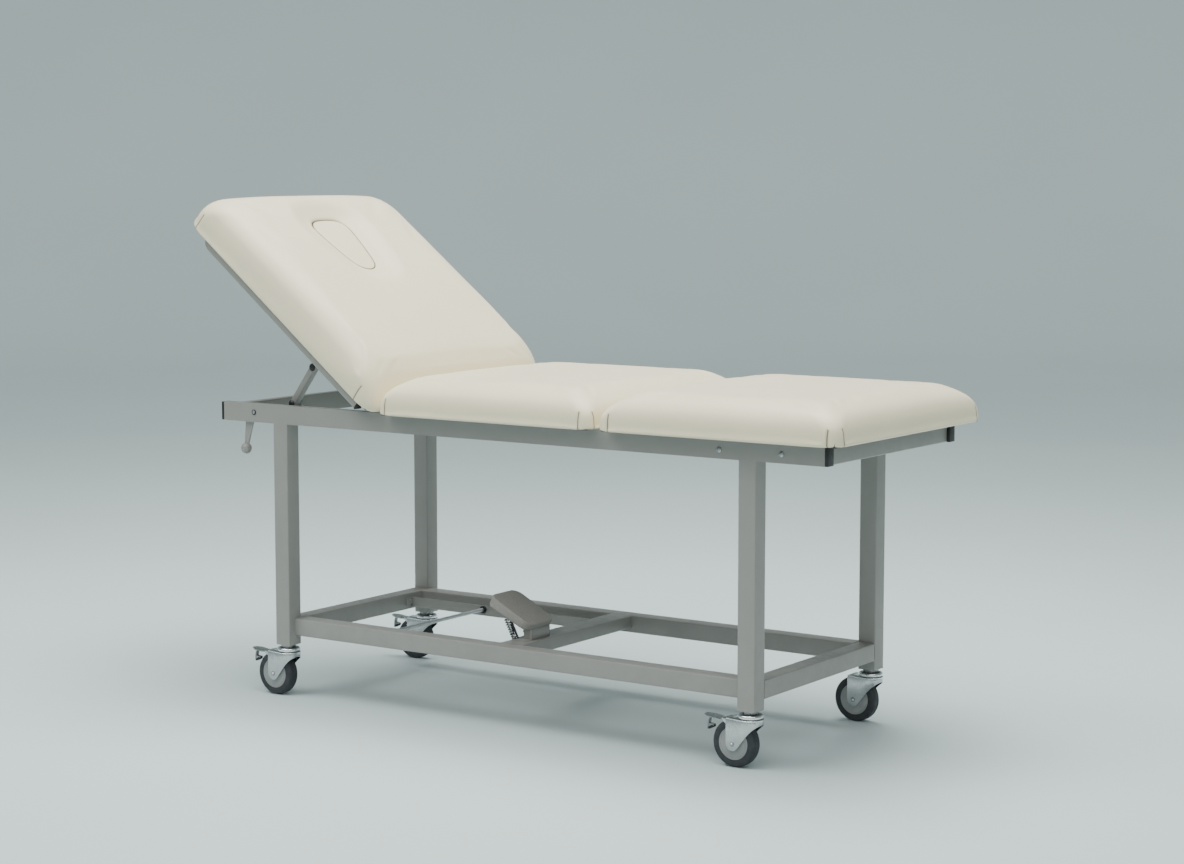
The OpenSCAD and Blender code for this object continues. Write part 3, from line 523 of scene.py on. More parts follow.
def tyre_rubber(name, colour):
    """Solid rubber: nearly black, matt, greyed by a film of dust."""
    n = Nodes(name, colour, 0.62)
    co = n.coords()
    dusty = n.ramp(n.noise(co, 45.0, 5.0, 0.65), 0.45, 0.75, 0.0, 0.35)
    base = n.blend(dusty, colour, shade(colour, 2.1))
    rough = n.ramp(n.noise(co, 80.0, 3.0), 0.3, 0.7, 0.52, 0.74)
    return n.end(base, rough, n.bump(n.noise(co, 1100.0, 3.0), 0.00012, 0.5))


def stippled_grip(name, colour):
    """Pedal cover: rounded pips 3 mm apart over worn grey-brown rubber."""
    n = Nodes(name, colour, 0.6)
    co = n.coords()
    pips = n.ramp(n.cells(co, 330.0), 0.12, 0.42, 1.0, 0.0)
    worn = n.ramp(n.noise(co, 28.0, 4.0, 0.6), 0.4, 0.7)
    base = n.blend(n.times(pips, n.ramp(worn, 0, 1, 0.25, 0.6)), shade(colour, 0.85), shade(colour, 1.5))
    rough = n.ramp(worn, 0.0, 1.0, 0.52, 0.70)
    return n.end(base, rough, n.bump(pips, 0.0005, 0.7))


def stained_board(name, colour):
    """Dark stained plywood: long grain drawn out along X, with pores."""
    n = Nodes(name, colour, 0.55)
    co = n.coords(stretch=(2.0, 26.0, 60.0))
    grain = n.noise(co, 5.0, 6.0, 0.6)
    pores = n.noise(co, 40.0, 2.0, 0.5)
    base = n.tones(grain, shade(colour, 0.7), shade(colour, 1.35))
    base = n.blend(n.ramp(pores, 0.62, 0.75, 0.0, 0.5), base, shade(colour, 0.4))
    return n.end(base, n.ramp(grain, 0.3, 0.7, 0.48, 0.62), n.bump(grain, 0.0003, 0.4))


def studio_floor(name, colour):
    """Plain pale floor with a barely visible unevenness."""
    n = Nodes(name, colour, 0.65)
    co = n.coords()
    base = n.tones(n.noise(co, 0.7, 2.0), shade(colour, 0.985), shade(colour, 1.01))
    return n.end(base, None, n.bump(n.noise(co, 40.0, 3.0), 0.0005, 0.1))


FINISHES = {}                                 # the materials made so far


def finish(name):
    """The shared material of a record slot, or one of its variants, made on first use."""
    if name not in FINISHES:
        s = bpy.context.scene.exam_finishes
        zinc = s.zinc_colour
        maker, *values = {
            "frame_paint": (powder_coat, s.coat_colour),
            "vinyl": (vinyl, s.vinyl_colour),
            "zinc": (bright_zinc, zinc),
            "polished_zinc": (bright_zinc, shade(zinc, 1.55), 0.17),
            "race_zinc": (race_zinc, shade(zinc, 1.7), (0.1101, 0.1116), 0.1196),
            # zinc darkened to 0.55 as painted shade and dark reflection, for the castor necks, brakes and axle
            # washers
            "pressed_zinc": (bright_zinc, shade(zinc, 0.55), 0.30, 0.25),
            "spring_steel": (bright_zinc, shade(zinc, 0.55), 0.30),
            "screw_steel": (bright_zinc, shade(zinc, 0.8), 0.30),
            "satin_rod": (bright_zinc, shade(zinc, 1.3), 0.42),
            "black_plastic": (moulded, (0.012, 0.012, 0.013), 0.42),
            "dark_rod": (moulded, (0.02, 0.02, 0.022), 0.35, 500.0),
            "hub_plastic": (moulded, s.hub_colour, 0.48),
            "grey_plastic": (moulded, shade(s.coat_colour, 0.95), 0.33, 600.0, 0.00005),
            "tyre": (tyre_rubber, s.tyre_colour),
            "pedal_grip": (stippled_grip, s.grip_colour),
            "board": (stained_board, s.board_colour),
        }[name]
        FINISHES[name] = maker(name, *values)
    return FINISHES[name]


# ---- upholstery

def pad_ring(x0, x1, half, r0, r1, nx, ny):
    """Rounded rectangle as 2 * (nx + ny) points. Each of its four sides runs from the middle of one corner's
    arc to the middle of the next, at even spacing: an eighth of a circle, a straight, and another eighth."""
    corners = np.array([[x0 + r0, r0 - half], [x1 - r1, r1 - half], [x1 - r1, half - r1], [x0 + r0, half - r0]])
    radii = np.array([r0, r1, r1, r0])
    out = []
    for k, count in enumerate((nx, ny, nx, ny)):
        c0, c1, ra, rb = corners[k], corners[(k + 1) % 4], radii[k], radii[(k + 1) % 4]
        along = c1 - c0
        straight = np.linalg.norm(along)
        u = along / straight
        outward = np.array([u[1], -u[0]])
        arc_a, arc_b = ra * np.pi / 4, rb * np.pi / 4
        s = np.linspace(0, arc_a + straight + arc_b, count, endpoint=False)[:, None]
        a = -np.pi / 4 + np.minimum(s, arc_a) / ra
        b = np.maximum(s - arc_a - straight, 0) / rb
        first = c0 + ra * (np.sin(a) * u + np.cos(a) * outward)
        middle = c0 + np.clip(s - arc_a, 0, straight) * u + (ra + (rb - ra) * np.clip(
            (s - arc_a) / straight, 0, 1)) * outward
        last = c1 + rb * (np.sin(b) * u + np.cos(b) * outward)
        out.append(np.where(s < arc_a, first, np.where(s < arc_a + straight, middle, last)))
    return np.concatenate(out)


def pad_profile(height, shoulder, power):
    """(inset, height) pairs up a pad's side. A quarter circle below, then
    inset = shoulder * (1 - sqrt(1 - t^power)) with t the share of the height, so the side leans in slowly and
    runs level into the top; a slight barrel of 1.4 mm is added below."""
    foot, barrel, start = 0.007, 0.0014, 0.36
    q = quarter(5)
    low = np.stack([foot * (1 - np.sin(q)), foot * (1 - np.cos(q))], axis=-1)
    t = np.linspace(foot / height, start, 5)[1:]
    q = np.linspace(math.asin(start ** (power / 2)), np.pi / 2, 18)[1:]
    t = np.concatenate([t, np.sin(q) ** (2 / power)])
    inset = shoulder * (1 - np.sqrt(np.maximum(1 - t ** power, 0)))
    high = np.stack([inset - barrel * np.sin(np.pi * np.minimum(t, SIDE) / SIDE), t * height], axis=-1)
    return np.concatenate([low, high])


def bulge(x, y, x0, x1, half, along, across, drop, head=0.0):
    """Height that a pad's top gains: along * (1 - a^6) + across * (1 - |b|^3) - drop, with a and b the place
    along and across, from -1 to 1. At the head end, head * exp(-(distance / 90 mm)^2) joins across."""
    a = np.clip((2 * x - x0 - x1) / (x1 - x0), -1, 1)
    b = np.clip(y / half, -1, 1)
    across = across + head * np.exp(-((x - x0) / 0.09) ** 2)
    return along * (1 - a ** 6) + across * (1 - np.abs(b) ** 3) - drop


def pad_surface(x0, x1, half, r0, r1, height, shoulder, power, nx, ny):
    """Closed cushion as a quad mesh in its own frame, underside at z = 0.
    Side: rings of the rounded outline, drawn in and raised by pad_profile, with the corner radius growing as
    the ring is drawn in. Top and underside: the surface that blends the four borders of the last ring (border
    along u mixed by v, plus border along v mixed by u, less the four corners mixed by both)."""
    rings = []
    for inset, z in pad_profile(height, shoulder, power):
        grown = 0.9 * max(inset, 0)
        ring = pad_ring(x0 + inset, x1 - inset, half - inset, r0 + grown, r1 + grown, nx, ny)
        rings.append(np.column_stack([ring, np.full(len(ring), z)]))
    around = 2 * (nx + ny)
    count = len(rings)

    def patch(ring):
        """Inner points of the surface that spans one ring."""
        a0 = ring[:nx + 1]
        b1 = ring[nx:nx + ny + 1]
        a1 = ring[nx + ny:2 * nx + ny + 1][::-1]
        b0 = np.concatenate([ring[2 * nx + ny:], ring[:1]])[::-1]
        u = np.linspace(0, 1, nx + 1)[:, None, None]
        v = np.linspace(0, 1, ny + 1)[None, :, None]
        grid = ((1 - v) * a0[:, None] + v * a1[:, None] + (1 - u) * b0[None] + u * b1[None]
                - (1 - u) * (1 - v) * a0[0] - u * (1 - v) * a0[-1] - (1 - u) * v * a1[0] - u * v * a1[-1])
        return grid[1:-1, 1:-1].reshape(-1, 3)

    def quads(base, inner, flip):
        """Faces of a patch, whose border points are those of the ring that starts at base."""
        index = np.empty((nx + 1, ny + 1), int)
        index[:, 0] = base + np.arange(nx + 1)
        index[-1, :] = base + nx + np.arange(ny + 1)
        index[::-1, -1] = base + nx + ny + np.arange(nx + 1)
        index[0, ::-1] = base + (2 * nx + ny + np.arange(ny + 1)) % around
        index[1:-1, 1:-1] = inner + np.arange((nx - 1) * (ny - 1)).reshape(nx - 1, ny - 1)
        q = np.stack([index[:-1, :-1], index[1:, :-1], index[1:, 1:], index[:-1, 1:]], axis=-1).reshape(-1, 4)
        return q[:, ::-1] if flip else q
    inner_low = count * around
    inner_top = inner_low + (nx - 1) * (ny - 1)
    verts = np.concatenate([np.concatenate(rings), patch(rings[0]), patch(rings[-1])])
    faces = [grid_faces(count, around, wrap_cols=True), quads(0, inner_low, True),
             quads((count - 1) * around, inner_top, False)]
    return verts, np.concatenate(faces)


def swell(piece, pinned, pressure, cap):
    """Blows the cover up a little over its foam: Cloth with pressure and no gravity for SWELL_FRAMES frames,
    with each point's move limited to cap by a smooth tanh, then kept as the mesh."""
    rest = points_of(piece)
    group = piece.vertex_groups.new(name="fixed_to_board")
    group.add([int(k) for k in np.flatnonzero(pinned)], 1.0, "REPLACE")
    cloth = piece.modifiers.new("Cover", "CLOTH")
    settings = cloth.settings
    settings.quality, settings.mass = 5, 0.35
    settings.tension_stiffness = settings.compression_stiffness = 20
    settings.bending_stiffness = 4
    settings.use_pressure, settings.uniform_pressure_force = True, pressure
    settings.vertex_group_mass = group.name
    settings.effector_weights.gravity = 0
    scene = bpy.context.scene
    for step in range(1, SWELL_FRAMES + 1):
        scene.frame_set(step)
    shown = piece.evaluated_get(bpy.context.evaluated_depsgraph_get())
    moved = np.empty(len(rest) * 3)
    shown.data.vertices.foreach_get("co", moved)
    piece.modifiers.remove(cloth)
    piece.vertex_groups.clear()
    scene.frame_set(1)
    shift = moved.reshape(-1, 3) - rest
    length = np.linalg.norm(shift, axis=1, keepdims=True)
    shift *= np.where(length > 1e-9, cap * np.tanh(length / cap) / np.maximum(length, 1e-9), 0)
    set_points(piece, rest + shift)


def refine(piece):
    """One round of subdivision, applied."""
    mod = piece.modifiers.new("Smooth", "SUBSURF")
    mod.levels = mod.render_levels = 1
    apply_modifiers(piece)


def draw_in_seams(local, x0, x1, half, height, seams, depth):
    """Moves points near a corner seam inwards by depth * exp(-(distance / 6 mm)^2), fading out upwards."""
    x, y, z = local.T
    fade = np.clip((SIDE * height - z) / (0.2 * height), 0, 1) * np.clip(z / 0.006, 0, 1)
    out = local.copy()
    for end, sign, at_side, at_end in ((x0, 1, seams[0], seams[2]), (x1, -1, seams[1], seams[3])):
        near = np.exp(-((x - (end + sign * at_side)) / 0.006) ** 2) * (np.abs(y) > half - 0.010)
        out[:, 1] -= np.sign(y) * depth * near * fade
        near = np.exp(-((np.abs(y) - (half - at_end)) / 0.006) ** 2) * (sign * (x - end) < 0.010)
        out[:, 0] += sign * depth * near * fade
    return out


def wedge(local):
    """Hinge end of the back pad: above 17 mm the end leans back at 42 degrees, below it is cut away upwards."""
    out = local.copy()
    x, z = local[:, 0], local[:, 2]
    share = np.clip((x - (BACK[1] - 0.130)) / 0.130, 0, None)
    out[:, 0] -= share * np.maximum(z - 0.017, 0) * 0.9
    floor = 1.25 * np.maximum(x + 0.0065, 0)
    out[:, 2] = np.maximum(out[:, 2], floor)
    return out


def opening_loop(count=240):
    """Points and outward directions round the face opening, evenly spaced. For each direction the outline
    reaches out to the soft maximum of the three circles' reaches, soft * log(sum of exp(reach / soft)) less
    soft * log 2, and the point is reach * direction + its slope * the direction turned by 90 degrees."""
    soft = OPENING_SOFT
    a = np.linspace(0, 2 * np.pi, 1440, endpoint=False)
    circles = np.array(OPENING)
    x, y, radius = circles[:, :1], circles[:, 1:2], circles[:, 2:]
    c, s = np.cos(a), np.sin(a)
    reach = x * c + y * s + radius
    weight = np.exp((reach - reach.max(axis=0)) / soft)
    outline = reach.max(axis=0) + soft * np.log(weight.sum(axis=0) / 2)
    slope = ((y * c - x * s) * weight).sum(axis=0) / weight.sum(axis=0)
    loop = np.column_stack([outline * c - slope * s, outline * s + slope * c, a])
    closed = np.vstack([loop, loop[:1] + [0, 0, 2 * np.pi]])
    run = np.concatenate([[0], np.cumsum(np.linalg.norm(np.diff(closed[:, :2], axis=0), axis=1))])
    s = np.linspace(0, run[-1], count, endpoint=False)
    x, y, angle = (np.interp(s, run, closed[:, k]) for k in range(3))
    return np.column_stack([x, y]), np.column_stack([np.cos(angle), np.sin(angle)])


def opening_distance(x, y):
    """Distance of points to the face opening's outline, negative inside it: the largest of the outward
    distances to the outline's support lines, or the distance to its nearest point where that is larger."""
    loop, out = opening_loop(120)
    to = np.stack([x, y], axis=-1)[:, None, :] - loop[None]
    support = (to * out[None]).sum(axis=-1).max(axis=1)
    return np.where(support < 0, support, np.linalg.norm(to, axis=-1).min(axis=1))


def put_groove_shade(piece, depth):
    """Stores how deep each point lies in the groove round the face plug, from 0 to 1, as the share of painted
    shade that the finish puts there.
    """
    values = piece.data.attributes.new("groove", "FLOAT", "POINT")
    values.data.foreach_set("value", np.clip(depth, 0, 1).astype(np.float32))


def groove_fade(depth):
    """Share of the groove's shade at a depth under the top: full, and from GROOVE_DARK falling to none."""
    return 1 - np.clip((depth - GROOVE_DARK) / (GROOVE_END - GROOVE_DARK), 0, 1)


def make_pad(node, finishes, pads):
    """A seat or foot pad over its CAD solid. Towards the joint between the two, the top dips by
    valley * exp(-(distance / 45 mm)^2)."""
    low, high = box(node)
    inset, r0 = 0.0009, 0.031
    x0, x1, half = low[0] + inset, high[0] - inset, high[1] - inset
    height, floor = pads.height, low[2] + 0.0004
    r1, seams = (0.038, (0.037, 0.028, r0, 0.038)) if node == "foot_pad" else (r0, (r0, r0, r0, r0))
    slack = pads.slack
    verts, faces = pad_surface(x0 + slack, x1 - slack, half - slack, r0, r1, height - slack, pads.shoulder,
                               pads.power, 64, 72)
    lift = bulge(verts[:, 0], verts[:, 1], x0, x1, half, pads.bulge, pads.bulge, pads.bulge)
    joint_x = x0 if node == "foot_pad" else x1
    lift -= pads.valley * np.exp(-((verts[:, 0] - joint_x) / 0.045) ** 2)
    verts[:, 2] += lift * (verts[:, 2] / height) ** 2 + floor
    piece = mesh_piece(node.replace("_pad", "_cushion"), verts, faces)
    swell(piece, verts[:, 2] < floor + 0.006, pads.pressure, pads.cap)
    refine(piece)
    local = points_of(piece) - [0, 0, floor]
    local = draw_in_seams(local, x0, x1, half, height, seams, pads.seam_depth)
    leave_board(local, x0 + BOARD_IN, x1 - BOARD_IN, half - BOARD_IN)
    set_points(piece, local + [0, 0, floor])
    smooth_all(piece)
    mat = vinyl(node + "_vinyl", finishes.vinyl_colour, (x0, x1, half, height, seams), (0, 0, floor))
    finish_piece(piece, mat, "frame", "vinyl", (node,))


def leave_board(local, x0, x1, half):
    """Lifts the underside over the board, which reaches from x0 to x1 and half to either side, by
    2 mm * clip(1 + distance inside its edge / 6 mm)."""
    inside = np.minimum(np.minimum(local[:, 0] - x0, x1 - local[:, 0]), half - np.abs(local[:, 1]))
    local[:, 2] = np.maximum(local[:, 2], 0.002 * np.clip(1 + inside / 0.006, 0, 1))


def laid(ring, top_at, distance=0, drop=0):
    """A ring in plan as points on the pad's top, at a distance from the opening, less drop."""
    return np.column_stack([ring, top_at(ring[:, 0], ring[:, 1], distance) - drop])


def opening_strip(loop, out, rim, top_at):
    """The opening's rim: from rim outside its outline, where it meets the pad's top, over a quarter-ellipse lip
    that is wider and deeper towards the head, and down the opening's wall."""
    headwards = np.clip(-out[:, 0], 0, 1) ** 1.5
    width, depth = 0.0050 + 0.0160 * headwards, 0.0048 + 0.0026 * headwards
    rings = [laid(loop + rim * out, top_at, rim)]
    for share in 1 - np.sin(quarter(12)):
        distance = width * share
        drop = depth * (1 - np.sqrt(np.maximum(1 - (1 - share) ** 2, 0)))
        rings.append(laid(loop + distance[:, None] * out, top_at, distance, drop))
    lip = rings[-1][:, 2]
    rings += [np.column_stack([loop, z]) for z in (lip - 0.004, lip - 0.012, np.full(len(loop), 0.012))]
    return np.concatenate(rings), grid_faces(len(rings), len(loop), wrap_cols=True)


def make_plug(finishes, loop, out, top_at):
    """The face plug: the opening's outline 1.2 mm smaller, carried up and over a rounded edge, with a low dome
    that follows the pad's top."""
    middle, count = loop.mean(axis=0), len(loop)
    gap, edge, sink, dome = 0.0012, 0.0040, 0.0012, 0.0016
    wall = loop - gap * out
    rings = [np.column_stack([loop - (gap + 0.0005) * out, np.full(count, 0.0095)]),
             np.column_stack([wall, np.full(count, 0.0120)])]
    rings += [laid(wall, top_at, 0, sink + edge + down) for down in (0.012, 0.004)]
    for angle in quarter(9):
        ring = loop - (gap + edge * (1 - math.cos(angle))) * out
        rings.append(laid(ring, top_at, 0, sink + edge * (1 - math.sin(angle))))
    last = rings[-1][:, :2]
    rings += [laid(middle + (last - middle) * k, top_at, 0, sink - dome * (1 - k ** 2))
              for k in np.linspace(0.97, 0.03, 16)]
    local = np.concatenate(rings)
    faces = grid_faces(len(rings), count, wrap_cols=True).tolist()
    faces += [list(reversed(range(count))), [(len(rings) - 1) * count + k for k in range(count)]]
    plug = mesh_piece("face_plug_cushion", raise_back(local + [0, 0, LIFT]), faces)
    # painted shade on the plug: darkest along its outline and down its side into the groove
    spread = 0.0036 - 0.0014 * np.clip(local[:, 1] / 0.02, -1, 1)
    line = 1 - (-opening_distance(local[:, 0], local[:, 1]) - gap) / spread
    below = top_at(local[:, 0], local[:, 1], 0) - sink - local[:, 2]
    put_groove_shade(plug, np.maximum(line * (below < 0.010), np.clip(below / 0.0040, 0, 1) * groove_fade(below)))
    turn_normals_out(plug)
    shade_by_angle(plug, COVER_ANGLE)
    mat = vinyl("plug_vinyl", finishes.vinyl_colour, None, tuple(HINGE), TILT, True)
    finish_piece(plug, mat, "face_plug", "vinyl", ("face_plug",))


def make_back(finishes, pads):
    """The back pad in its own frame, with its wedge end and the face opening, then raised, and its plug. The
    cover sinks towards the opening by basin * (1 - smoothstep(distance / BASIN_REACH))."""
    half, rim = pads.width / 2, 0.026
    slack = pads.slack
    verts, faces = pad_surface(BACK[0] + slack, BACK[1] - slack, half - slack, 0.048, 0.050,
                               BACK_HEIGHT - slack, pads.back_shoulder, pads.back_power, 76, 72)
    lift = bulge(verts[:, 0], verts[:, 1], BACK[0], BACK[1], half, pads.back_along, pads.back_across,
                 pads.back_drop, pads.back_head)
    settle = smoothstep((BACK[1] - 0.01 - verts[:, 0]) / 0.28)
    verts[:, 2] += lift * settle * (verts[:, 2] / BACK_HEIGHT) ** 2
    piece = mesh_piece("back_cushion", wedge(verts), faces)
    swell(piece, (verts[:, 2] < 0.006) | (verts[:, 0] > -0.012), pads.pressure, pads.cap)
    refine(piece)
    seams = (0.038, 0.062, 0.062, 0.050)
    local = draw_in_seams(points_of(piece), BACK[0], BACK[1], half, BACK_HEIGHT, seams, pads.seam_depth)

    # the top near the opening as a quadratic surface less the basin, so that the strip can meet it
    gap = opening_distance(local[:, 0], local[:, 1])
    on_top = local[:, 2] > SIDE * BACK_HEIGHT
    fit = on_top & (gap > -0.03) & (gap < 0.05)

    def terms(x, y):
        return np.stack([np.ones_like(x), x, y, x * x, x * y, y * y], axis=-1)
    shape = np.linalg.lstsq(terms(local[fit, 0], local[fit, 1]), local[fit, 2], rcond=None)[0]

    def basin_at(d):
        return pads.basin * (1 - smoothstep(d / BASIN_REACH))

    def top_at(x, y, d):
        return terms(x, y) @ shape - basin_at(d)
    sunk = basin_at(gap) * np.clip((local[:, 2] / BACK_HEIGHT - SIDE) / 0.2, 0, 1)
    share = np.clip((0.050 - gap) / 0.02, 0, 1) * on_top
    plane = terms(local[:, 0], local[:, 1]) @ shape
    local[:, 2] += (plane - local[:, 2]) * share - sunk
    leave_board(local, BACK[0] + BOARD_IN, BACK_BOARD_END, half - BOARD_IN)
    set_points(piece, local)

    loop, out = opening_loop()
    column = carried(loop + rim * out, [[0, 0, -0.05], [0, 0, 0.2]], [[1, 0, 0]] * 2, [[0, 1, 0]] * 2)
    cutter = mesh_piece("opening_cutter", *column)
    turn_normals_out(cutter)
    turn_normals_out(piece)
    take_away(piece, cutter)

    pts, polys = merge_parts([mesh_of(piece), opening_strip(loop, out, rim, top_at)])
    old, piece.data = piece.data, bpy.data.meshes.new("back_cushion")
    bpy.data.meshes.remove(old)
    fill_mesh(piece, pts, polys)
    smooth_all(piece)
    turn_normals_out(piece)
    shade_by_angle(piece, COVER_ANGLE)
    local = points_of(piece)
    # painted shade round the opening: darkest at the outline and down the lip into the groove
    gap = opening_distance(local[:, 0], local[:, 1])
    below = top_at(local[:, 0], local[:, 1], gap) - local[:, 2]
    line = np.maximum(1 - np.abs(gap) / 0.0032, np.clip(below / 0.0060, 0, 1)) * groove_fade(below)
    put_groove_shade(piece, np.where((gap < 0.022) & (local[:, 2] > 0.01), line, 0))
    set_points(piece, raise_back(local + [0, 0, LIFT]))
    place = (HINGE[0] + LIFT * math.sin(TILT), 0, HINGE[2] + LIFT * math.cos(TILT))
    mat = vinyl("back_vinyl", finishes.vinyl_colour, (*BACK, half, BACK_HEIGHT, seams), place, TILT, True)
    finish_piece(piece, mat, "backrest", "vinyl", ("back_pad",))
    make_plug(finishes, loop, out, top_at)


# ---- frame

# nodes whose box is filled by a drawn tube, and the axis it runs along; the near side rail keeps its slot and
# holes, so it stays as it is
TUBES = {
    "side_rail_far": 0, "cross_rail_foot": 1, "cross_rail_seat": 1, "cross_rail_hinge": 1,
    "cross_rail_head": 1, "leg_head_near": 2, "leg_head_far": 2, "leg_foot_near": 2, "leg_foot_far": 2,
    "lower_rail_near": 0, "lower_rail_far": 0, "lower_cross_head": 1, "lower_cross_mid": 1,
    "lower_cross_foot": 1,
}


def frame_tubes(settings):
    """Drawn tubes in the boxes of their CAD nodes: a rounded rectangle carried along one axis."""
    for node, axis in TUBES.items():
        make(node + "_tube", bar(*box(node), axis, settings.corner_radius), (node,), sharp=SHARP_ANGLE)


def back_tube():
    """The bent tube behind the back pad: a rounded rectangle carried up one side, round a quarter circle,
    across and round again, and down the other side."""
    outer, width, depth, r = 0.328, 0.024, 0.025, 0.044
    run = outer - width / 2
    s0, s1 = -0.051, -0.684 + width / 2
    q = quarter(15)
    near = [(s0, -run)] + [(s1 + r - r * math.sin(a), -run + r - r * math.cos(a)) for a in q]
    far = [(x, -y) for x, y in reversed(near)]
    section = rounded_section(width, depth, 0.004, 6)
    pts, faces = carried(section, *along_plan(np.array(near + far), LIFT - depth / 2))
    make("back_frame_tube", (raise_back(pts), faces), ("back_tube_near", "back_tube_far", "back_tube_top"),
         sharp=SHARP_ANGLE)


# radius that each dressed node's edges get
DRESSED = {
    "rail_end_caps": 0.0012, "back_caps": 0.0010, "prop_caps": 0.0004, "hinge_ears": 0.0008,
    "hinge_pins": 0.0004, "prop_ramps": 0.0008, "stay_bar": 0.0006, "tie_rod": 0.0005, "pedal_pin": 0.0004,
    "castor_mounts": 0.0005, "hinge_lugs": 0.0008, "prop_lugs": 0.0008, "prop_arms": 0.0016,
    "prop_tube": 0.0004, "release_lever": 0.0010, "pedal_arm": 0.0007,
    **{"brake_" + name: 0.0005 for name in BRAKED},
}
# castor necks and brakes in the darkened zinc, as painted shade and dark reflection
OTHER_FINISH = {"castor_mounts": "pressed_zinc", "prop_tube": "frame_paint", "tie_rod": "satin_rod",
                **{"brake_" + name: "pressed_zinc" for name in BRAKED}}


def copied(node):
    """A copy of a CAD node with its doubled points merged and its flat areas joined."""
    source = NODES[node]
    piece = bpy.data.objects.new(node + "_finished", source.data.copy())
    bpy.context.scene.collection.objects.link(piece)
    with editing(piece) as bm:
        bmesh.ops.transform(bm, matrix=source.matrix_world, verts=bm.verts)
        bmesh.ops.remove_doubles(bm, verts=bm.verts, dist=2e-6)
        bmesh.ops.dissolve_limit(bm, angle_limit=math.radians(1.0), verts=bm.verts, edges=bm.edges)
    return piece


def back_board():
    """The back's board, with its two head corners rounded so that they stay under the pad's corners."""
    piece, near = copied("back_board"), 0.001
    with editing(piece) as bm:
        points = np.array([v.co for v in bm.verts])
        reach = -math.cos(TILT) * points[:, 0] + math.sin(TILT) * points[:, 2]
        corner = (reach > reach.max() - near) & (np.abs(points[:, 1]) > points[:, 1].max() - near)
        edges = [e for e in bm.edges if corner[e.verts[0].index] and corner[e.verts[1].index]
                 and abs(e.verts[0].co.y - e.verts[1].co.y) < near]
        bmesh.ops.bevel(bm, geom=edges, offset=0.034, offset_type="OFFSET", segments=10, profile=0.5,
                        affect="EDGES")
    round_edges(piece, 0.0008)
    finish_piece(piece, finish("board"), "backrest", "board", ("back_board",))


def dress_parts():
    """Copies of CAD nodes with their sharp edges rounded, in the finish of their slot or another one."""
    for node, edge in DRESSED.items():
        piece = copied(node)
        round_edges(piece, edge)
        coat = OTHER_FINISH.get(node, SLOT_OF[node])
        finish_piece(piece, finish(coat), BODY_OF[node], SLOT_OF[node], (node,))


def pan_head(centre, radius, height, slot_turn):
    """A slotted pan head on the near rail's face: a lathed low dome with a vertical edge, less a slot."""
    q = quarter(8)
    lip = 0.35 * height
    profile = [(radius * 0.98, 0.0), (radius, 0.0003), (radius, lip)]
    profile += [(max(radius * math.cos(a), AXIS), lip + (height - lip) * math.sin(a)) for a in q[1:]]
    head = mesh_piece("pan_head", *lathe(profile, centre, (0, -1, 0), 48))
    with editing(head) as bm:
        bmesh.ops.holes_fill(bm, edges=[e for e in bm.edges if e.is_boundary])
    turn_normals_out(head)
    c, s = math.cos(slot_turn), math.sin(slot_turn)
    along, across = np.array([c, 0, s]), np.array([-s, 0, c])
    floor = np.asarray(centre) - [0, 0.25 * height, 0]
    path = [floor - 1.2 * radius * along, floor + 1.2 * radius * along]
    section = np.array([[-1, 0], [1, 0], [1, 1], [-1, 1]]) * [0.0011, 0.01]
    slot = mesh_piece("pan_slot", *carried(section, path, [across] * 2, [[0, -1.0, 0]] * 2))
    turn_normals_out(slot)
    take_away(head, slot)
    mesh = mesh_of(head)
    bpy.data.objects.remove(head)
    return mesh


def rail_screws():
    """The two slotted screws at the foot end and the lever's pivot screw, on the near rail's outer face."""
    low, high = box("side_rail_near")
    lever = joint_at("release_lever_turn")
    z, washer = high[2] - 0.0255, 0.0010
    heads = [pan_head((x, low[1], z), 0.0063, 0.0032, turn) for x, turn in ((0.59205, 1.15), (0.74655, 0.85))]
    heads.append(pan_head((lever[0], low[1] - washer, lever[2]), 0.0038, 0.0026, 0.3))
    make("rail_screw_heads", merge_parts(heads), ("rail_screws",), "screw_steel", sharp=SMALL_ANGLE)
    profile = [(AXIS, 0.0), (0.0066, 0.0), (0.0068, 0.0003), (0.0066, washer), (AXIS, washer)]
    make("lever_washer", lathe(profile, (lever[0], low[1], lever[2]), (0, -1, 0), 48), (), "dark_rod", "frame",
         "black_plastic", sharp=SMALL_ANGLE)


def bead(start, end, radius=0.0016):
    """A weld bead: a round section carried along a line, with its radius swelling every 2.4 mm."""
    start, end = np.asarray(start, float), np.asarray(end, float)
    length = np.linalg.norm(end - start)
    count = max(6, int(length / 0.0006))
    t = np.linspace(0, 1, count)
    r = radius * (1 + 0.16 * np.sin(t * length / 0.0024 * 2 * np.pi)) * np.clip(
        np.minimum(t, 1 - t) * length / 0.0015 + 0.35, 0, 1)
    ring = unit_ring((end - start) / length, 8, (0, 0, 1))
    pts = (start + t[:, None] * (end - start))[:, None, :] + r[:, None, None] * ring
    return pts.reshape(-1, 3), closed_grid(count, 8)


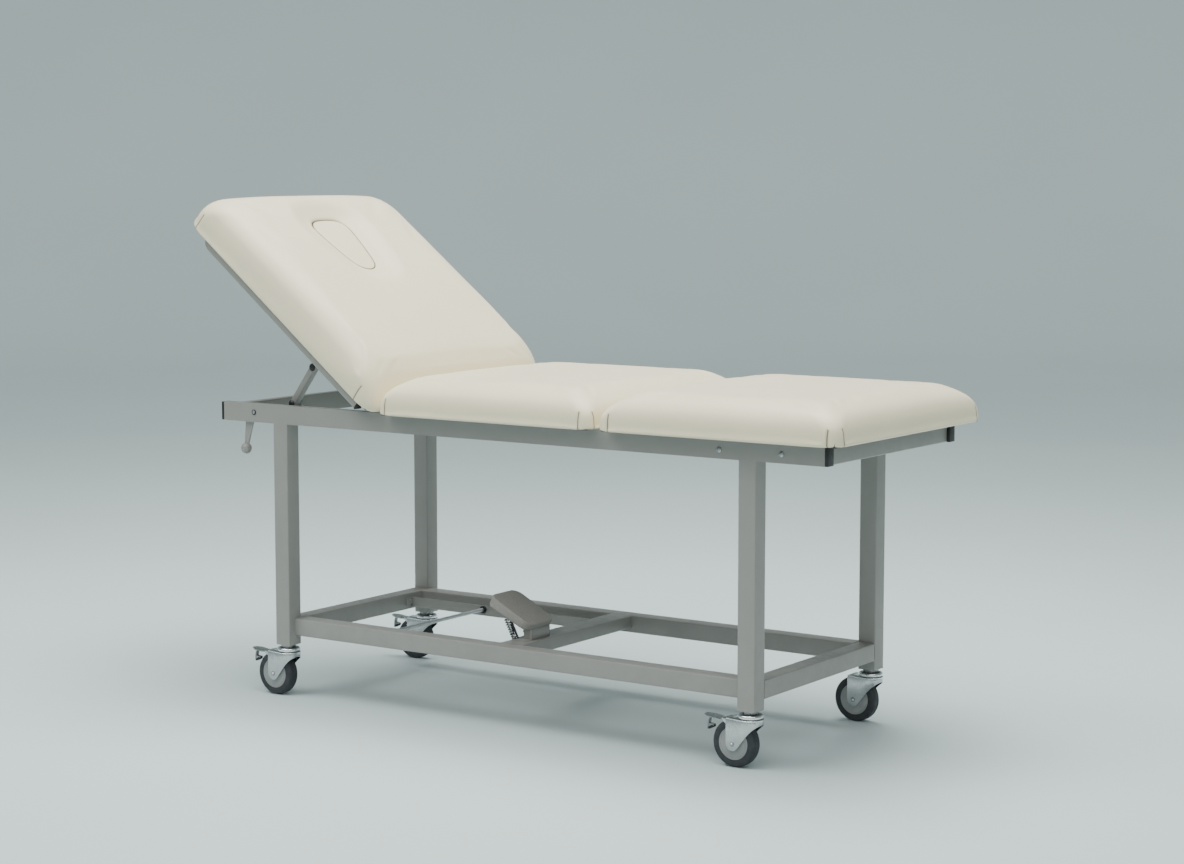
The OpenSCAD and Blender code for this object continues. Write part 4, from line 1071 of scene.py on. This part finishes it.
def weld_beads():
    """Beads where lower rails butt the legs, where the middle rail meets the side rails, and under the
    upper rails round each leg's top."""
    runs = []
    mid_low, mid_high = box("lower_cross_mid")
    for side in ("near", "far"):
        low, high = box("lower_rail_" + side)
        for x in (low[0], high[0]):
            for y in (low[1], high[1]):
                runs.append(((x, y, low[2] + 0.003), (x, y, high[2] - 0.003)))
            runs.append(((x, low[1] + 0.003, high[2]), (x, high[1] - 0.003, high[2])))
        y = high[1] if side == "near" else low[1]
        runs.append(((mid_low[0] + 0.003, y, mid_low[2]), (mid_high[0] - 0.003, y, mid_low[2])))
        for x in (mid_low[0], mid_high[0]):
            runs.append(((x, y, mid_low[2]), (x, y, mid_high[2] - 0.002)))
    for end, side in (("head", "near"), ("head", "far"), ("foot", "near"), ("foot", "far")):
        low, high = box("leg_" + end + "_" + side)
        y, reach = (high[1], (low[1] + 0.004, low[1] + 0.024)) if side == "near" else (
            low[1], (high[1] - 0.024, high[1] - 0.004))
        for x in (low[0], high[0]):
            runs.append(((x, reach[0], high[2]), (x, reach[1], high[2])))
        cross_low, cross_high = box("lower_cross_" + end)
        for x in (low[0], high[0]):
            runs.append(((x, y, cross_low[2] + 0.003), (x, y, cross_high[2] - 0.003)))
    make("weld_beads", merge_parts([bead(*run) for run in runs]), body="frame", slot="frame_paint")


# ---- castors, lever and pedal

def wheel(name):
    """Tyre and disc of one wheel. Tyre: a lathed section with rounded shoulders and a fine line beside each.
    Disc: a lathed face with a shallow groove near its rim and a raised boss round the axle."""
    low, high = box("tyre_" + name)
    centre = (low + high) / 2
    half, radius = (high[1] - low[1]) / 2 + 0.0010, (high[2] - low[2]) / 2
    hub, shoulder = radius * 0.685, 0.0090
    right = [(hub, half - 0.0004), (hub + 0.0030, half), (hub + 0.0034, half - 0.0003), (hub + 0.0038, half)]
    right += [(radius - shoulder * (1 - math.sin(a)), half - shoulder * (1 - math.cos(a))) for a in quarter(9)]
    tyre = merge_parts([lathe(mirrored(right), centre, (0, 1, 0), 128),
                        lathe([(hub, -half + 0.0004), (hub, half - 0.0004)], centre, (0, 1, 0), 128)])
    make("tyre_round_" + name, tyre, ("tyre_" + name,), sharp=SHARP_ANGLE)
    hub_low, hub_high = box("hub_" + name)
    boss, face, bore = (hub_high[1] - hub_low[1]) / 2, half - 0.0008, 0.0041
    right = [(bore, boss), (0.0100, boss), (0.0110, boss - 0.0008), (0.0115, face + 0.0006),
             (0.0135, face - 0.0002), (hub * 0.55, face - 0.0010), (hub - 0.0055, face - 0.0003),
             (hub - 0.0048, face - 0.0012), (hub - 0.0040, face - 0.0002), (hub - 0.0006, face),
             (hub - 0.0001, face - 0.0006)]
    disc = lathe(mirrored(right) + right[:1], centre, (0, 1, 0))
    make("wheel_disc_" + name, disc, ("hub_" + name,), sharp=SHARP_ANGLE)


def fork(name):
    """Fork of one castor, in two pieces. Cheeks: a wall 2.5 mm thick that follows the plate's edge in plan,
    straight beside the wheel and round a circle at the foot side; its lower edge runs round the axle on a
    circle, up a cubic curve P0 (1-t)^3 + 3 P1 t (1-t)^2 + 3 P2 t^2 (1-t) + P3 t^3, and over the round part by
    a parabola. Crown: rings from the plate's outline up to the dome of the ball race."""
    axle = joint_at("roll_" + name)
    pivot = joint_at("swivel_" + name) * [1, 1, 0]
    trail = axle[0] - pivot[0]
    side, thick, reach, top = 0.0200, 0.0025, 0.0286, 0.1080
    head = trail - 0.0160

    q = np.radians(np.linspace(180, 320, 22))
    below = np.column_stack([trail + 0.0157 * np.cos(q), axle[2] + 0.0157 * np.sin(q)])
    t = np.linspace(0, 1, 22)[1:, None]
    p0, p1, p2, p3 = below[-1], np.array([-0.012, 0.057]), np.array([0.002, 0.079]), np.array([0.0204, 0.092])
    curve = p0 * (1 - t) ** 3 + 3 * p1 * t * (1 - t) ** 2 + 3 * p2 * t ** 2 * (1 - t) + p3 * t ** 3
    edge = np.concatenate([below, curve])
    if name in BRAKED:
        edge = np.concatenate([[[trail - 0.026, 0.103], [head, 0.097]], edge])
    turn = math.asin(side / reach)
    a = np.linspace(-turn, turn, 25)[1:-1]
    straight = np.column_stack([edge[:, 0], np.full(len(edge), -side), edge[:, 1]])
    bend = np.column_stack([reach * np.cos(a), reach * np.sin(a), 0.092 + 0.0065 * (1 - (a / turn) ** 2)])
    outer = np.concatenate([straight, bend, straight[::-1] * [1, -1, 1]])
    inward = np.concatenate([np.tile([0, 1.0], (len(straight), 1)), -np.column_stack([np.cos(a), np.sin(a)]),
                             np.tile([0, -1.0], (len(straight), 1))])
    inner = outer + np.column_stack([thick * inward, np.zeros(len(outer))])
    lift = np.array([1, 1, 0])
    wall = np.stack([outer * lift + [0, 0, top], outer, inner, inner * lift + [0, 0, top]], axis=1)
    rows = len(outer)
    faces = grid_faces(rows, 4, wrap_cols=True).tolist() + [[0, 1, 2, 3], [4 * rows - 1 - k for k in range(4)]]
    rod = [(AXIS, -side), (0.004, -side), (0.004, side), (AXIS, side)]
    rod = lathe(rod, [trail, 0, axle[2]], (0, 1, 0), 32)
    pts, faces = merge_parts([(wall.reshape(-1, 3), faces), rod])
    make("fork_cheeks_" + name, (pts + pivot, faces), ("fork_" + name,), edge=0.0005)

    a = np.linspace(-np.pi, np.pi, 180, endpoint=False)
    ray = np.column_stack([np.cos(a), np.sin(a)])
    corner = np.array([head, side])
    plate = 0.0295
    slope = math.acos(plate / np.linalg.norm(corner))
    normal = np.arctan2(side, head) - slope
    reach_out = plate / np.maximum(np.cos(np.abs(a) - normal), 1e-3)
    far = np.abs(a) > normal
    outline = np.where(far, np.minimum(reach_out, head / np.minimum(np.cos(a), -1e-3)), plate)
    dome = np.minimum(outline, reach)
    headwards = np.clip((outline - plate) / 0.012, 0, 1)

    def ring(radius, z):
        return np.column_stack([ray * radius[:, None], np.full(len(a), 1.0) * z])
    rings = [ring(outline - 0.0004, 0.1076), ring(outline, 0.1080), ring(outline, 0.1094),
             ring(outline - 0.0005, 0.1099), ring(outline - 0.0018, 0.1101),
             ring(dome - 0.0028, 0.1106 + 0.0030 * headwards)]
    q = np.linspace(-0.42 * np.pi, 0.5 * np.pi, 14)
    rings += [ring(dome - 0.0036 * (1 - math.cos(v)), 0.1158 + 0.0046 * math.sin(v)) for v in q]
    top_rings = ((0.0225, 0.1209), (0.0192, 0.1211), (0.0066, 0.1210), (0.0066, 0.1076))
    rings += [ring(np.full(len(a), r), z) for r, z in top_rings]
    crown = np.concatenate(rings) + pivot, grid_faces(len(rings), len(a), wrap_rows=True, wrap_cols=True)
    make("fork_crown_" + name, crown, (), "race_zinc", "fork_" + name, "zinc", sharp=ROUND_ANGLE)


def rivets(name):
    """Axle ends: on each cheek a flat washer and a bright low dome on it, lathed along the axle."""
    low, high = box("tyre_" + name)
    x, y, z = (low + high) / 2
    washer = [(AXIS, -0.001), (0.0056, -0.001), (0.0056, 0.0003), (0.0052, 0.0006), (AXIS, 0.0006)]
    dome = [(AXIS, 0.0), (0.0030, 0.0)]
    dome += [(max(0.0030 * math.cos(a), AXIS), 0.0006 + 0.0026 * math.sin(a)) for a in quarter(8)]
    for kind, profile, coat in (("washers", washer, "pressed_zinc"), ("rivets", dome, "polished_zinc")):
        ends = [lathe(profile, [x, y + sign * 0.0200, z], (0, sign, 0), 40) for sign in (-1, 1)]
        make("axle_" + kind + "_" + name, merge_parts(ends), (), coat, "fork_" + name, "zinc",
             sharp=SMALL_ANGLE)


def guide_rod():
    """Two dark rods beside the pedal's spring, as lathed profiles: the sleeve on the pedal's own rod, and a
    fixed rod that stands parallel to the spring and runs up into the pedal."""
    joint, tilt, length = joint_at("pedal_press"), math.radians(11), 0.0514
    profile = [(AXIS, 0.0), (0.0027, 0.0), (0.0027, 0.0505), (0.0020, length), (AXIS, length)]
    foot, lean = spring_line()
    sleeve = joint + [-0.0500, -0.0250, 0.0335], np.array([math.sin(tilt), 0, -math.cos(tilt)])
    fixed = foot + [0.0108, 0.0, 0.0005] + length * lean, -lean
    for name, line, body in (("guide_rod_sleeve", sleeve, "pedal"), ("guide_rod_fixed", fixed, "frame")):
        make(name, lathe(profile, *line, 32), (), "dark_rod", body, "black_plastic", sharp=SMALL_ANGLE)


def rod_collar():
    """Dark collar on the tie rod, against the flat bar, lathed along the rod."""
    low, high = box("tie_rod")
    r, (x, _, z), depth = (high[0] - low[0]) / 2 + 0.0003, (low + high) / 2, 0.0052
    face = box("stay_bar")[1][1] - 0.0050
    profile = [(AXIS, -depth), (r - 0.0008, -depth), (r, 0.0008 - depth), (r, 0.0), (AXIS, 0.0)]
    make("tie_rod_collar", lathe(profile, (x, face, z), (0, 1, 0), 40), body="frame", slot="black_plastic",
         sharp=SMALL_ANGLE)


def spring_line():
    """Foot of the pedal's spring on the middle rail, and the direction in which it leans."""
    lean = math.radians(26.4)
    return np.array([-0.0400, -0.1800, 0.1958]), np.array([-math.sin(lean), 0, math.cos(lean)])


def pedal_bracket():
    """Folded bracket on the middle rail: a strip of sheet carried round two bends in plan, on a base plate."""
    foot_x, head_x, near, far, r, sheet = 0.0040, -0.0195, -0.1708, -0.0950, 0.0045, 0.0030
    low, high = box("lower_cross_mid")[1][2], 0.2185
    half = [(head_x, near)] + [(foot_x - r + r * math.sin(a), near + r - r * math.cos(a)) for a in quarter(8)]
    flat = np.array(half + [(x, near + far - y) for x, y in reversed(half)])
    section = np.array([[0, 0], [sheet, 0], [sheet, high - low], [0, high - low]])
    fold = carried(section, *along_plan(flat, low))
    base = bar(np.array([-0.0435, -0.1885, low - 0.0002]), np.array([foot_x, far, low + 0.0015]), 2, 0.006)
    make("pedal_bracket_fold", merge_parts([fold, base]), ("pedal_bracket",), edge=0.0006)


def brake_tip(name):
    """Black tip on the brake's tongue: a rounded oblong section carried along the tongue's lower edge and
    tapered at both ends by an ellipse."""
    low, high = box("brake_" + name)
    start = np.array([low[0] + 0.0245, (low[1] + high[1]) / 2, low[2] + 0.0100])
    end = np.array([low[0] + 0.0068, (low[1] + high[1]) / 2, low[2] + 0.0010])
    t = np.linspace(0, 1, 15)[:, None]
    fade = np.sqrt(np.clip(1 - (2 * t - 1) ** 4, 0.02, 1))
    axis = (end - start) / np.linalg.norm(end - start)
    tip = carried(rounded_section(0.0062, 0.0125, 0.0024), start + t * (end - start),
                  fade * np.array([-axis[2], 0, axis[0]]), fade * np.array([0, 1.0, 0]))
    make("brake_tip_" + name, tip, body="brake_" + name, slot="black_plastic")


def lever_ball():
    """Moulded ball: a sphere with a raised parting line round it, in the lever's plane."""
    low, high = box("lever_ball")
    centre, r = (low + high) / 2, (high[0] - low[0]) / 2
    a = np.linspace(-np.pi / 2, np.pi / 2, 49)
    ridge = 0.00045 * np.exp(-((a * r) / 0.0007) ** 2)
    profile = np.column_stack([np.maximum((r + ridge) * np.cos(a), AXIS), (r + ridge) * np.sin(a)])
    make("lever_knob", lathe(profile, centre, (0, 1, 0), 72), ("lever_ball",))


def pedal_spring():
    """Open coil: a circle of wire carried along a helix whose axis leans from its foot to the pedal,
    with the last half turn at each end drawn flat."""
    r, wire, turns, length = 0.0058, 0.0016, 9, 0.0480
    foot, axis = spring_line()
    e1 = np.array([0, 1.0, 0])
    e2 = np.cross(axis, e1)
    t = np.linspace(0, 1, turns * 28 + 1)
    a = 2 * np.pi * turns * t
    rise = np.clip((t - 0.5 / turns) / (1 - 1 / turns), 0, 1)
    centre = foot + rise[:, None] * length * axis
    path = centre + r * (np.cos(a)[:, None] * e1 + np.sin(a)[:, None] * e2)
    step = np.gradient(path, axis=0)
    step /= np.linalg.norm(step, axis=1, keepdims=True)
    side = np.cross(step, axis)
    side /= np.linalg.norm(side, axis=1, keepdims=True)
    up = np.cross(step, side)
    b = np.linspace(0, 2 * np.pi, 8, endpoint=False)
    loop = wire * np.column_stack([np.cos(b), np.sin(b)])
    piece = make("pedal_coil", carried(loop, path, side, up), ("pedal_spring",), "spring_steel", "frame")
    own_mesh(piece)


def pedal_cover():
    """Pedal pad: rings round a rounded rectangle, with both rims turned over quarter circles. The depth below
    the top grows along the pad, as depth * (1 + 0.34 * place), and its pips are left to the finish."""
    joint = joint_at("pedal_press")
    slope, length, width, thick, r = math.radians(27.5), 0.133, 0.107, 0.0215, 0.024
    corner = joint + [0.0267, 0.0020, 0.0187]
    along = np.array([-math.cos(slope), 0, math.sin(slope)])
    normal = np.array([math.sin(slope), 0, math.cos(slope)])
    q = quarter(8)
    rim, foot = 0.0036, 0.0060
    insets = [(foot * (1 - math.sin(a)), -thick + foot * (1 - math.cos(a))) for a in q]
    insets += [(rim * (1 - math.cos(a)), -rim + rim * math.sin(a)) for a in q]
    rings = []
    for inset, z in insets:
        loop = rounded_section(length - 2 * inset, width - 2 * inset, r - inset, 9)
        place = loop[:, 0:1] / length + 0.5
        rings.append(corner + (length * place) * along + loop[:, 1:2] * np.array([0, 1.0, 0])
                     + z * (1 + 0.34 * place) * normal)
    cover = np.concatenate(rings), closed_grid(len(rings), len(rings[0]))
    make("pedal_cover", cover, ("pedal_pad",), sharp=ROUND_ANGLE)


# ---- CAD nodes that stay

def cad_finishes():
    """Every CAD node gets the material of its slot."""
    for node, piece in NODES.items():
        material = finish(SLOT_OF[node])
        if piece.material_slots:
            for place in piece.material_slots:
                place.material = material
        else:
            piece.data.materials.append(material)


# ---- studio

def placed(name, data, place, turn):
    """A light or the camera, at its place and turned."""
    thing = bpy.data.objects.new(name, data)
    thing.location, thing.rotation_euler = place, turn
    bpy.context.scene.collection.objects.link(thing)
    return thing


def studio(settings):
    """Camera where the photograph's stood, a pale floor that bends up into a wall far behind (a profile of a
    straight, a quarter circle and a straight, carried across), and soft lights."""
    scene = bpy.context.scene
    turn, pitch = math.radians(34.55), math.radians(83.81)
    forward = np.array([-math.sin(turn), math.cos(turn), 0])
    right = np.array([math.cos(turn), math.sin(turn), 0])
    far, bend = 10.0, 4.0
    q = quarter(25)
    profile = [(-40.0, 0.0), (-14.0, 0.0), (-5.0, 0.0), (0.0, 0.0), (5.0, 0.0)]
    profile += [(far + bend * math.sin(a), bend * (1 - math.cos(a))) for a in q] + [(far + bend, 16.0)]
    run, rise = np.array(profile).T
    across = np.linspace(-44, 44, 45)
    pts = (run[:, None, None] * forward + across[None, :, None] * right
           + rise[:, None, None] * np.array([0, 0, 1.0])).reshape(-1, 3)
    floor = mesh_piece("studio_floor", pts, grid_faces(len(run), len(across)))
    floor.data.materials.append(studio_floor("studio_floor", settings.floor_colour))
    if floor.data.polygons[0].normal[2] < 0:
        floor.data.flip_normals()

    world = bpy.data.worlds.new("studio_world")
    world.use_nodes = True
    air = world.node_tree.nodes["Background"].inputs
    air[0].default_value, air[1].default_value = (*settings.air_colour, 1), settings.air_strength
    scene.world = world

    data = bpy.data.lights.new("sky_light", "SUN")
    data.energy, data.angle = settings.sky_strength, math.radians(70)
    placed("sky_light", data, (0, 0, 0), (math.radians(38), 0, math.radians(30)))
    for name, place, aim, size, power in (
            ("key_light", (-1.8, -2.2, 4.4), (0, 0, 0.6), (3.2, 2.4), settings.key_power),
            ("top_light", (0.3, 0.4, 4.4), (0, 0, 0.7), (3.6, 2.4), settings.top_power)):
        data = bpy.data.lights.new(name, "AREA")
        data.shape, data.energy = "RECTANGLE", power
        data.size, data.size_y = size
        x, y, z = np.subtract(place, aim)
        placed(name, data, place, (math.atan2(math.hypot(x, y), z), 0, math.atan2(y, x) + math.pi / 2))

    data = bpy.data.cameras.new("camera")
    data.sensor_width, data.lens, data.clip_end = 36, settings.lens, 100
    scene.camera = placed("camera", data, (3.3871, -4.8355, 1.3091), (pitch, 0, turn))


# ---- settings

def rgb(name, text, default):
    """A colour setting."""
    return bpy.props.FloatVectorProperty(name=name, description=text, default=default, size=3, min=0, max=1,
                                         subtype="COLOR")


def number(name, text, default, low, high, **kind):
    """A plain number as a setting, with its limits."""
    return bpy.props.FloatProperty(name=name, description=text, default=default, min=low, max=high, **kind)


def metres(*values):
    """A length setting."""
    return number(*values, subtype="DISTANCE", unit="LENGTH", precision=4)


def watts(*values):
    """A light's power as a setting."""
    return number(*values, 0.0, 10000.0, subtype="POWER", unit="POWER")


class ExamFinishes(bpy.types.PropertyGroup):
    """Colours of the finishes."""
    coat_colour: rgb("Frame coat", "Powder coat of the tubes", (0.290, 0.287, 0.268))
    vinyl_colour: rgb("Vinyl", "Upholstery cover", (0.890, 0.812, 0.572))
    zinc_colour: rgb("Zinc", "Plated castor forks and screws", (0.52, 0.535, 0.54))
    hub_colour: rgb("Wheel disc", "Moulded wheel centres", (0.300, 0.310, 0.310))
    tyre_colour: rgb("Tyre", "Solid rubber tyres", (0.030, 0.034, 0.038))
    grip_colour: rgb("Pedal cover", "Stippled rubber on the foot pedal", (0.345, 0.328, 0.300))
    board_colour: rgb("Boards", "Stained plywood under the pads", (0.055, 0.045, 0.038))


class ExamPads(bpy.types.PropertyGroup):
    """Shape of the upholstery."""
    width: metres("Width", "Width of the pads", 0.698, 0.5, 0.9)
    height: metres("Height", "Height of the seat and foot pads", 0.083, 0.05, 0.12)
    bulge: metres("Bulge", "How much lower a pad's corners are than its edges", 0.007, 0.0, 0.02)
    shoulder: metres("Shoulder", "How far the rounded top edge reaches in", 0.064, 0.02, 0.09)
    valley: metres("Valley", "How far the tops dip towards the joint of seat and foot pads", 0.008, 0.0, 0.02)
    power: number("Fullness", "Higher is a squarer shoulder", 3.8, 2.0, 8.0)
    back_along: metres("Back rise along", "How much the back pad rises from its ends", 0.013, 0.0, 0.03)
    back_across: metres("Back rise across", "How much the back pad rises from its sides", 0.003, 0.0, 0.03)
    back_head: metres("Back rise at the head", "How much the head edge rises in its middle", 0.012, 0.0, 0.03)
    back_drop: metres("Back drop", "How much lower the back pad's corners are", 0.005, 0.0, 0.03)
    back_shoulder: metres("Back shoulder", "How far the back pad's rounded edge reaches in", 0.053, 0.02, 0.09)
    back_power: number("Back fullness", "Higher is a squarer shoulder", 4.7, 2.0, 8.0)
    basin: metres("Basin", "How far the cover sinks towards the face opening", 0.018, 0.0, 0.03)
    slack: metres("Slack", "How much smaller a cover is before it is blown up", 0.0022, 0.0, 0.006)
    seam_depth: metres("Seam depth", "How far the corner seams are drawn in", 0.0008, 0.0, 0.004)
    cap: metres("Swell limit", "Furthest that the cover is blown out", 0.0050, 0.0, 0.02)
    pressure: number("Pressure", "Pressure in the cloth simulation", 4.0, 0.0, 20.0)


class ExamFrame(bpy.types.PropertyGroup):
    """Shape of the tubes."""
    corner_radius: metres("Corner radius", "Outer corner radius of the drawn tubes", 0.0030, 0.0005, 0.008)


class ExamStudio(bpy.types.PropertyGroup):
    """Floor, lights and camera."""
    floor_colour: rgb("Floor", "Studio floor", (0.62, 0.73, 0.725))
    air_colour: rgb("Air", "Light from all round", (0.82, 0.91, 0.91))
    air_strength: number("Air strength", "Strength of the light from all round", 0.29, 0.0, 4.0)
    sky_strength: number("Sky light", "Strength of the wide light from above", 1.1, 0.0, 10.0)
    key_power: watts("Key light", "Power of the key light", 120.0)
    top_power: watts("Top light", "Power of the top light", 260.0)
    lens: number("Lens", "Focal length in millimetres", 75.895, 20.0, 200.0)


# ---- operators

class EXAM_OT_cad_finishes(bpy.types.Operator):
    """Give every carried-over solid its finish"""
    bl_idname = "exam.cad_finishes"
    bl_label = "Finishes"

    def execute(self, context):
        cad_finishes()
        return {"FINISHED"}


class EXAM_OT_pads(bpy.types.Operator):
    """Make the seat and foot pads"""
    bl_idname = "exam.pads"
    bl_label = "Seat and Foot Pads"

    def execute(self, context):
        for node in ("seat_pad", "foot_pad"):
            make_pad(node, context.scene.exam_finishes, context.scene.exam_pads)
        return {"FINISHED"}


class EXAM_OT_back(bpy.types.Operator):
    """Make the back pad with its face opening, and the plug"""
    bl_idname = "exam.back"
    bl_label = "Back Pad and Face Plug"

    def execute(self, context):
        make_back(context.scene.exam_finishes, context.scene.exam_pads)
        return {"FINISHED"}


class EXAM_OT_frame(bpy.types.Operator):
    """Make the frame's tubes and their weld beads"""
    bl_idname = "exam.frame"
    bl_label = "Frame Tubes"

    def execute(self, context):
        frame_tubes(context.scene.exam_frame)
        back_tube()
        dress_parts()
        back_board()
        rail_screws()
        weld_beads()
        return {"FINISHED"}


class EXAM_OT_castors(bpy.types.Operator):
    """Make the wheels, the forks and the tips of the brake tongues"""
    bl_idname = "exam.castors"
    bl_label = "Castors"

    def execute(self, context):
        for name in CASTORS:
            wheel(name)
            fork(name)
            rivets(name)
        for name in BRAKED:
            brake_tip(name)
        return {"FINISHED"}


class EXAM_OT_controls(bpy.types.Operator):
    """Make the lever's ball, the pedal cover and its spring"""
    bl_idname = "exam.controls"
    bl_label = "Lever and Pedal"

    def execute(self, context):
        lever_ball()
        pedal_cover()
        pedal_bracket()
        pedal_spring()
        guide_rod()
        rod_collar()
        return {"FINISHED"}


class EXAM_OT_studio(bpy.types.Operator):
    """Set up the floor, the lights and the camera"""
    bl_idname = "exam.studio"
    bl_label = "Studio"

    def execute(self, context):
        studio(context.scene.exam_studio)
        return {"FINISHED"}


class EXAM_PT_panel(bpy.types.Panel):
    """Sizes, colours and the steps that make the table"""
    bl_idname = "EXAM_PT_panel"
    bl_label = "Examination Table"
    bl_space_type = "VIEW_3D"
    bl_region_type = "UI"
    bl_category = "Exam Table"

    def draw(self, context):
        for group in ("exam_finishes", "exam_pads", "exam_frame", "exam_studio"):
            settings = getattr(context.scene, group)
            area = self.layout.box()
            for name in settings.__annotations__:
                area.prop(settings, name)
        for step in STEPS:
            self.layout.operator(step.bl_idname)


GROUPS = {"exam_finishes": ExamFinishes, "exam_pads": ExamPads, "exam_frame": ExamFrame,
          "exam_studio": ExamStudio}
STEPS = (EXAM_OT_cad_finishes, EXAM_OT_studio, EXAM_OT_frame, EXAM_OT_castors, EXAM_OT_controls, EXAM_OT_pads,
         EXAM_OT_back)


def register():
    for cls in (*GROUPS.values(), *STEPS, EXAM_PT_panel):
        bpy.utils.register_class(cls)
    for name, cls in GROUPS.items():
        setattr(bpy.types.Scene, name, bpy.props.PointerProperty(type=cls))


def unregister():
    for name in GROUPS:
        delattr(bpy.types.Scene, name)
    for cls in reversed((*GROUPS.values(), *STEPS, EXAM_PT_panel)):
        bpy.utils.unregister_class(cls)


def main():
    register()
    bpy.ops.exam.cad_finishes()
    bpy.ops.exam.studio()
    bpy.ops.exam.frame()
    bpy.ops.exam.castors()
    bpy.ops.exam.controls()
    bpy.ops.exam.pads()
    bpy.ops.exam.back()
    bpy.context.view_layer.update()


if __name__ == "__main__":
    main()
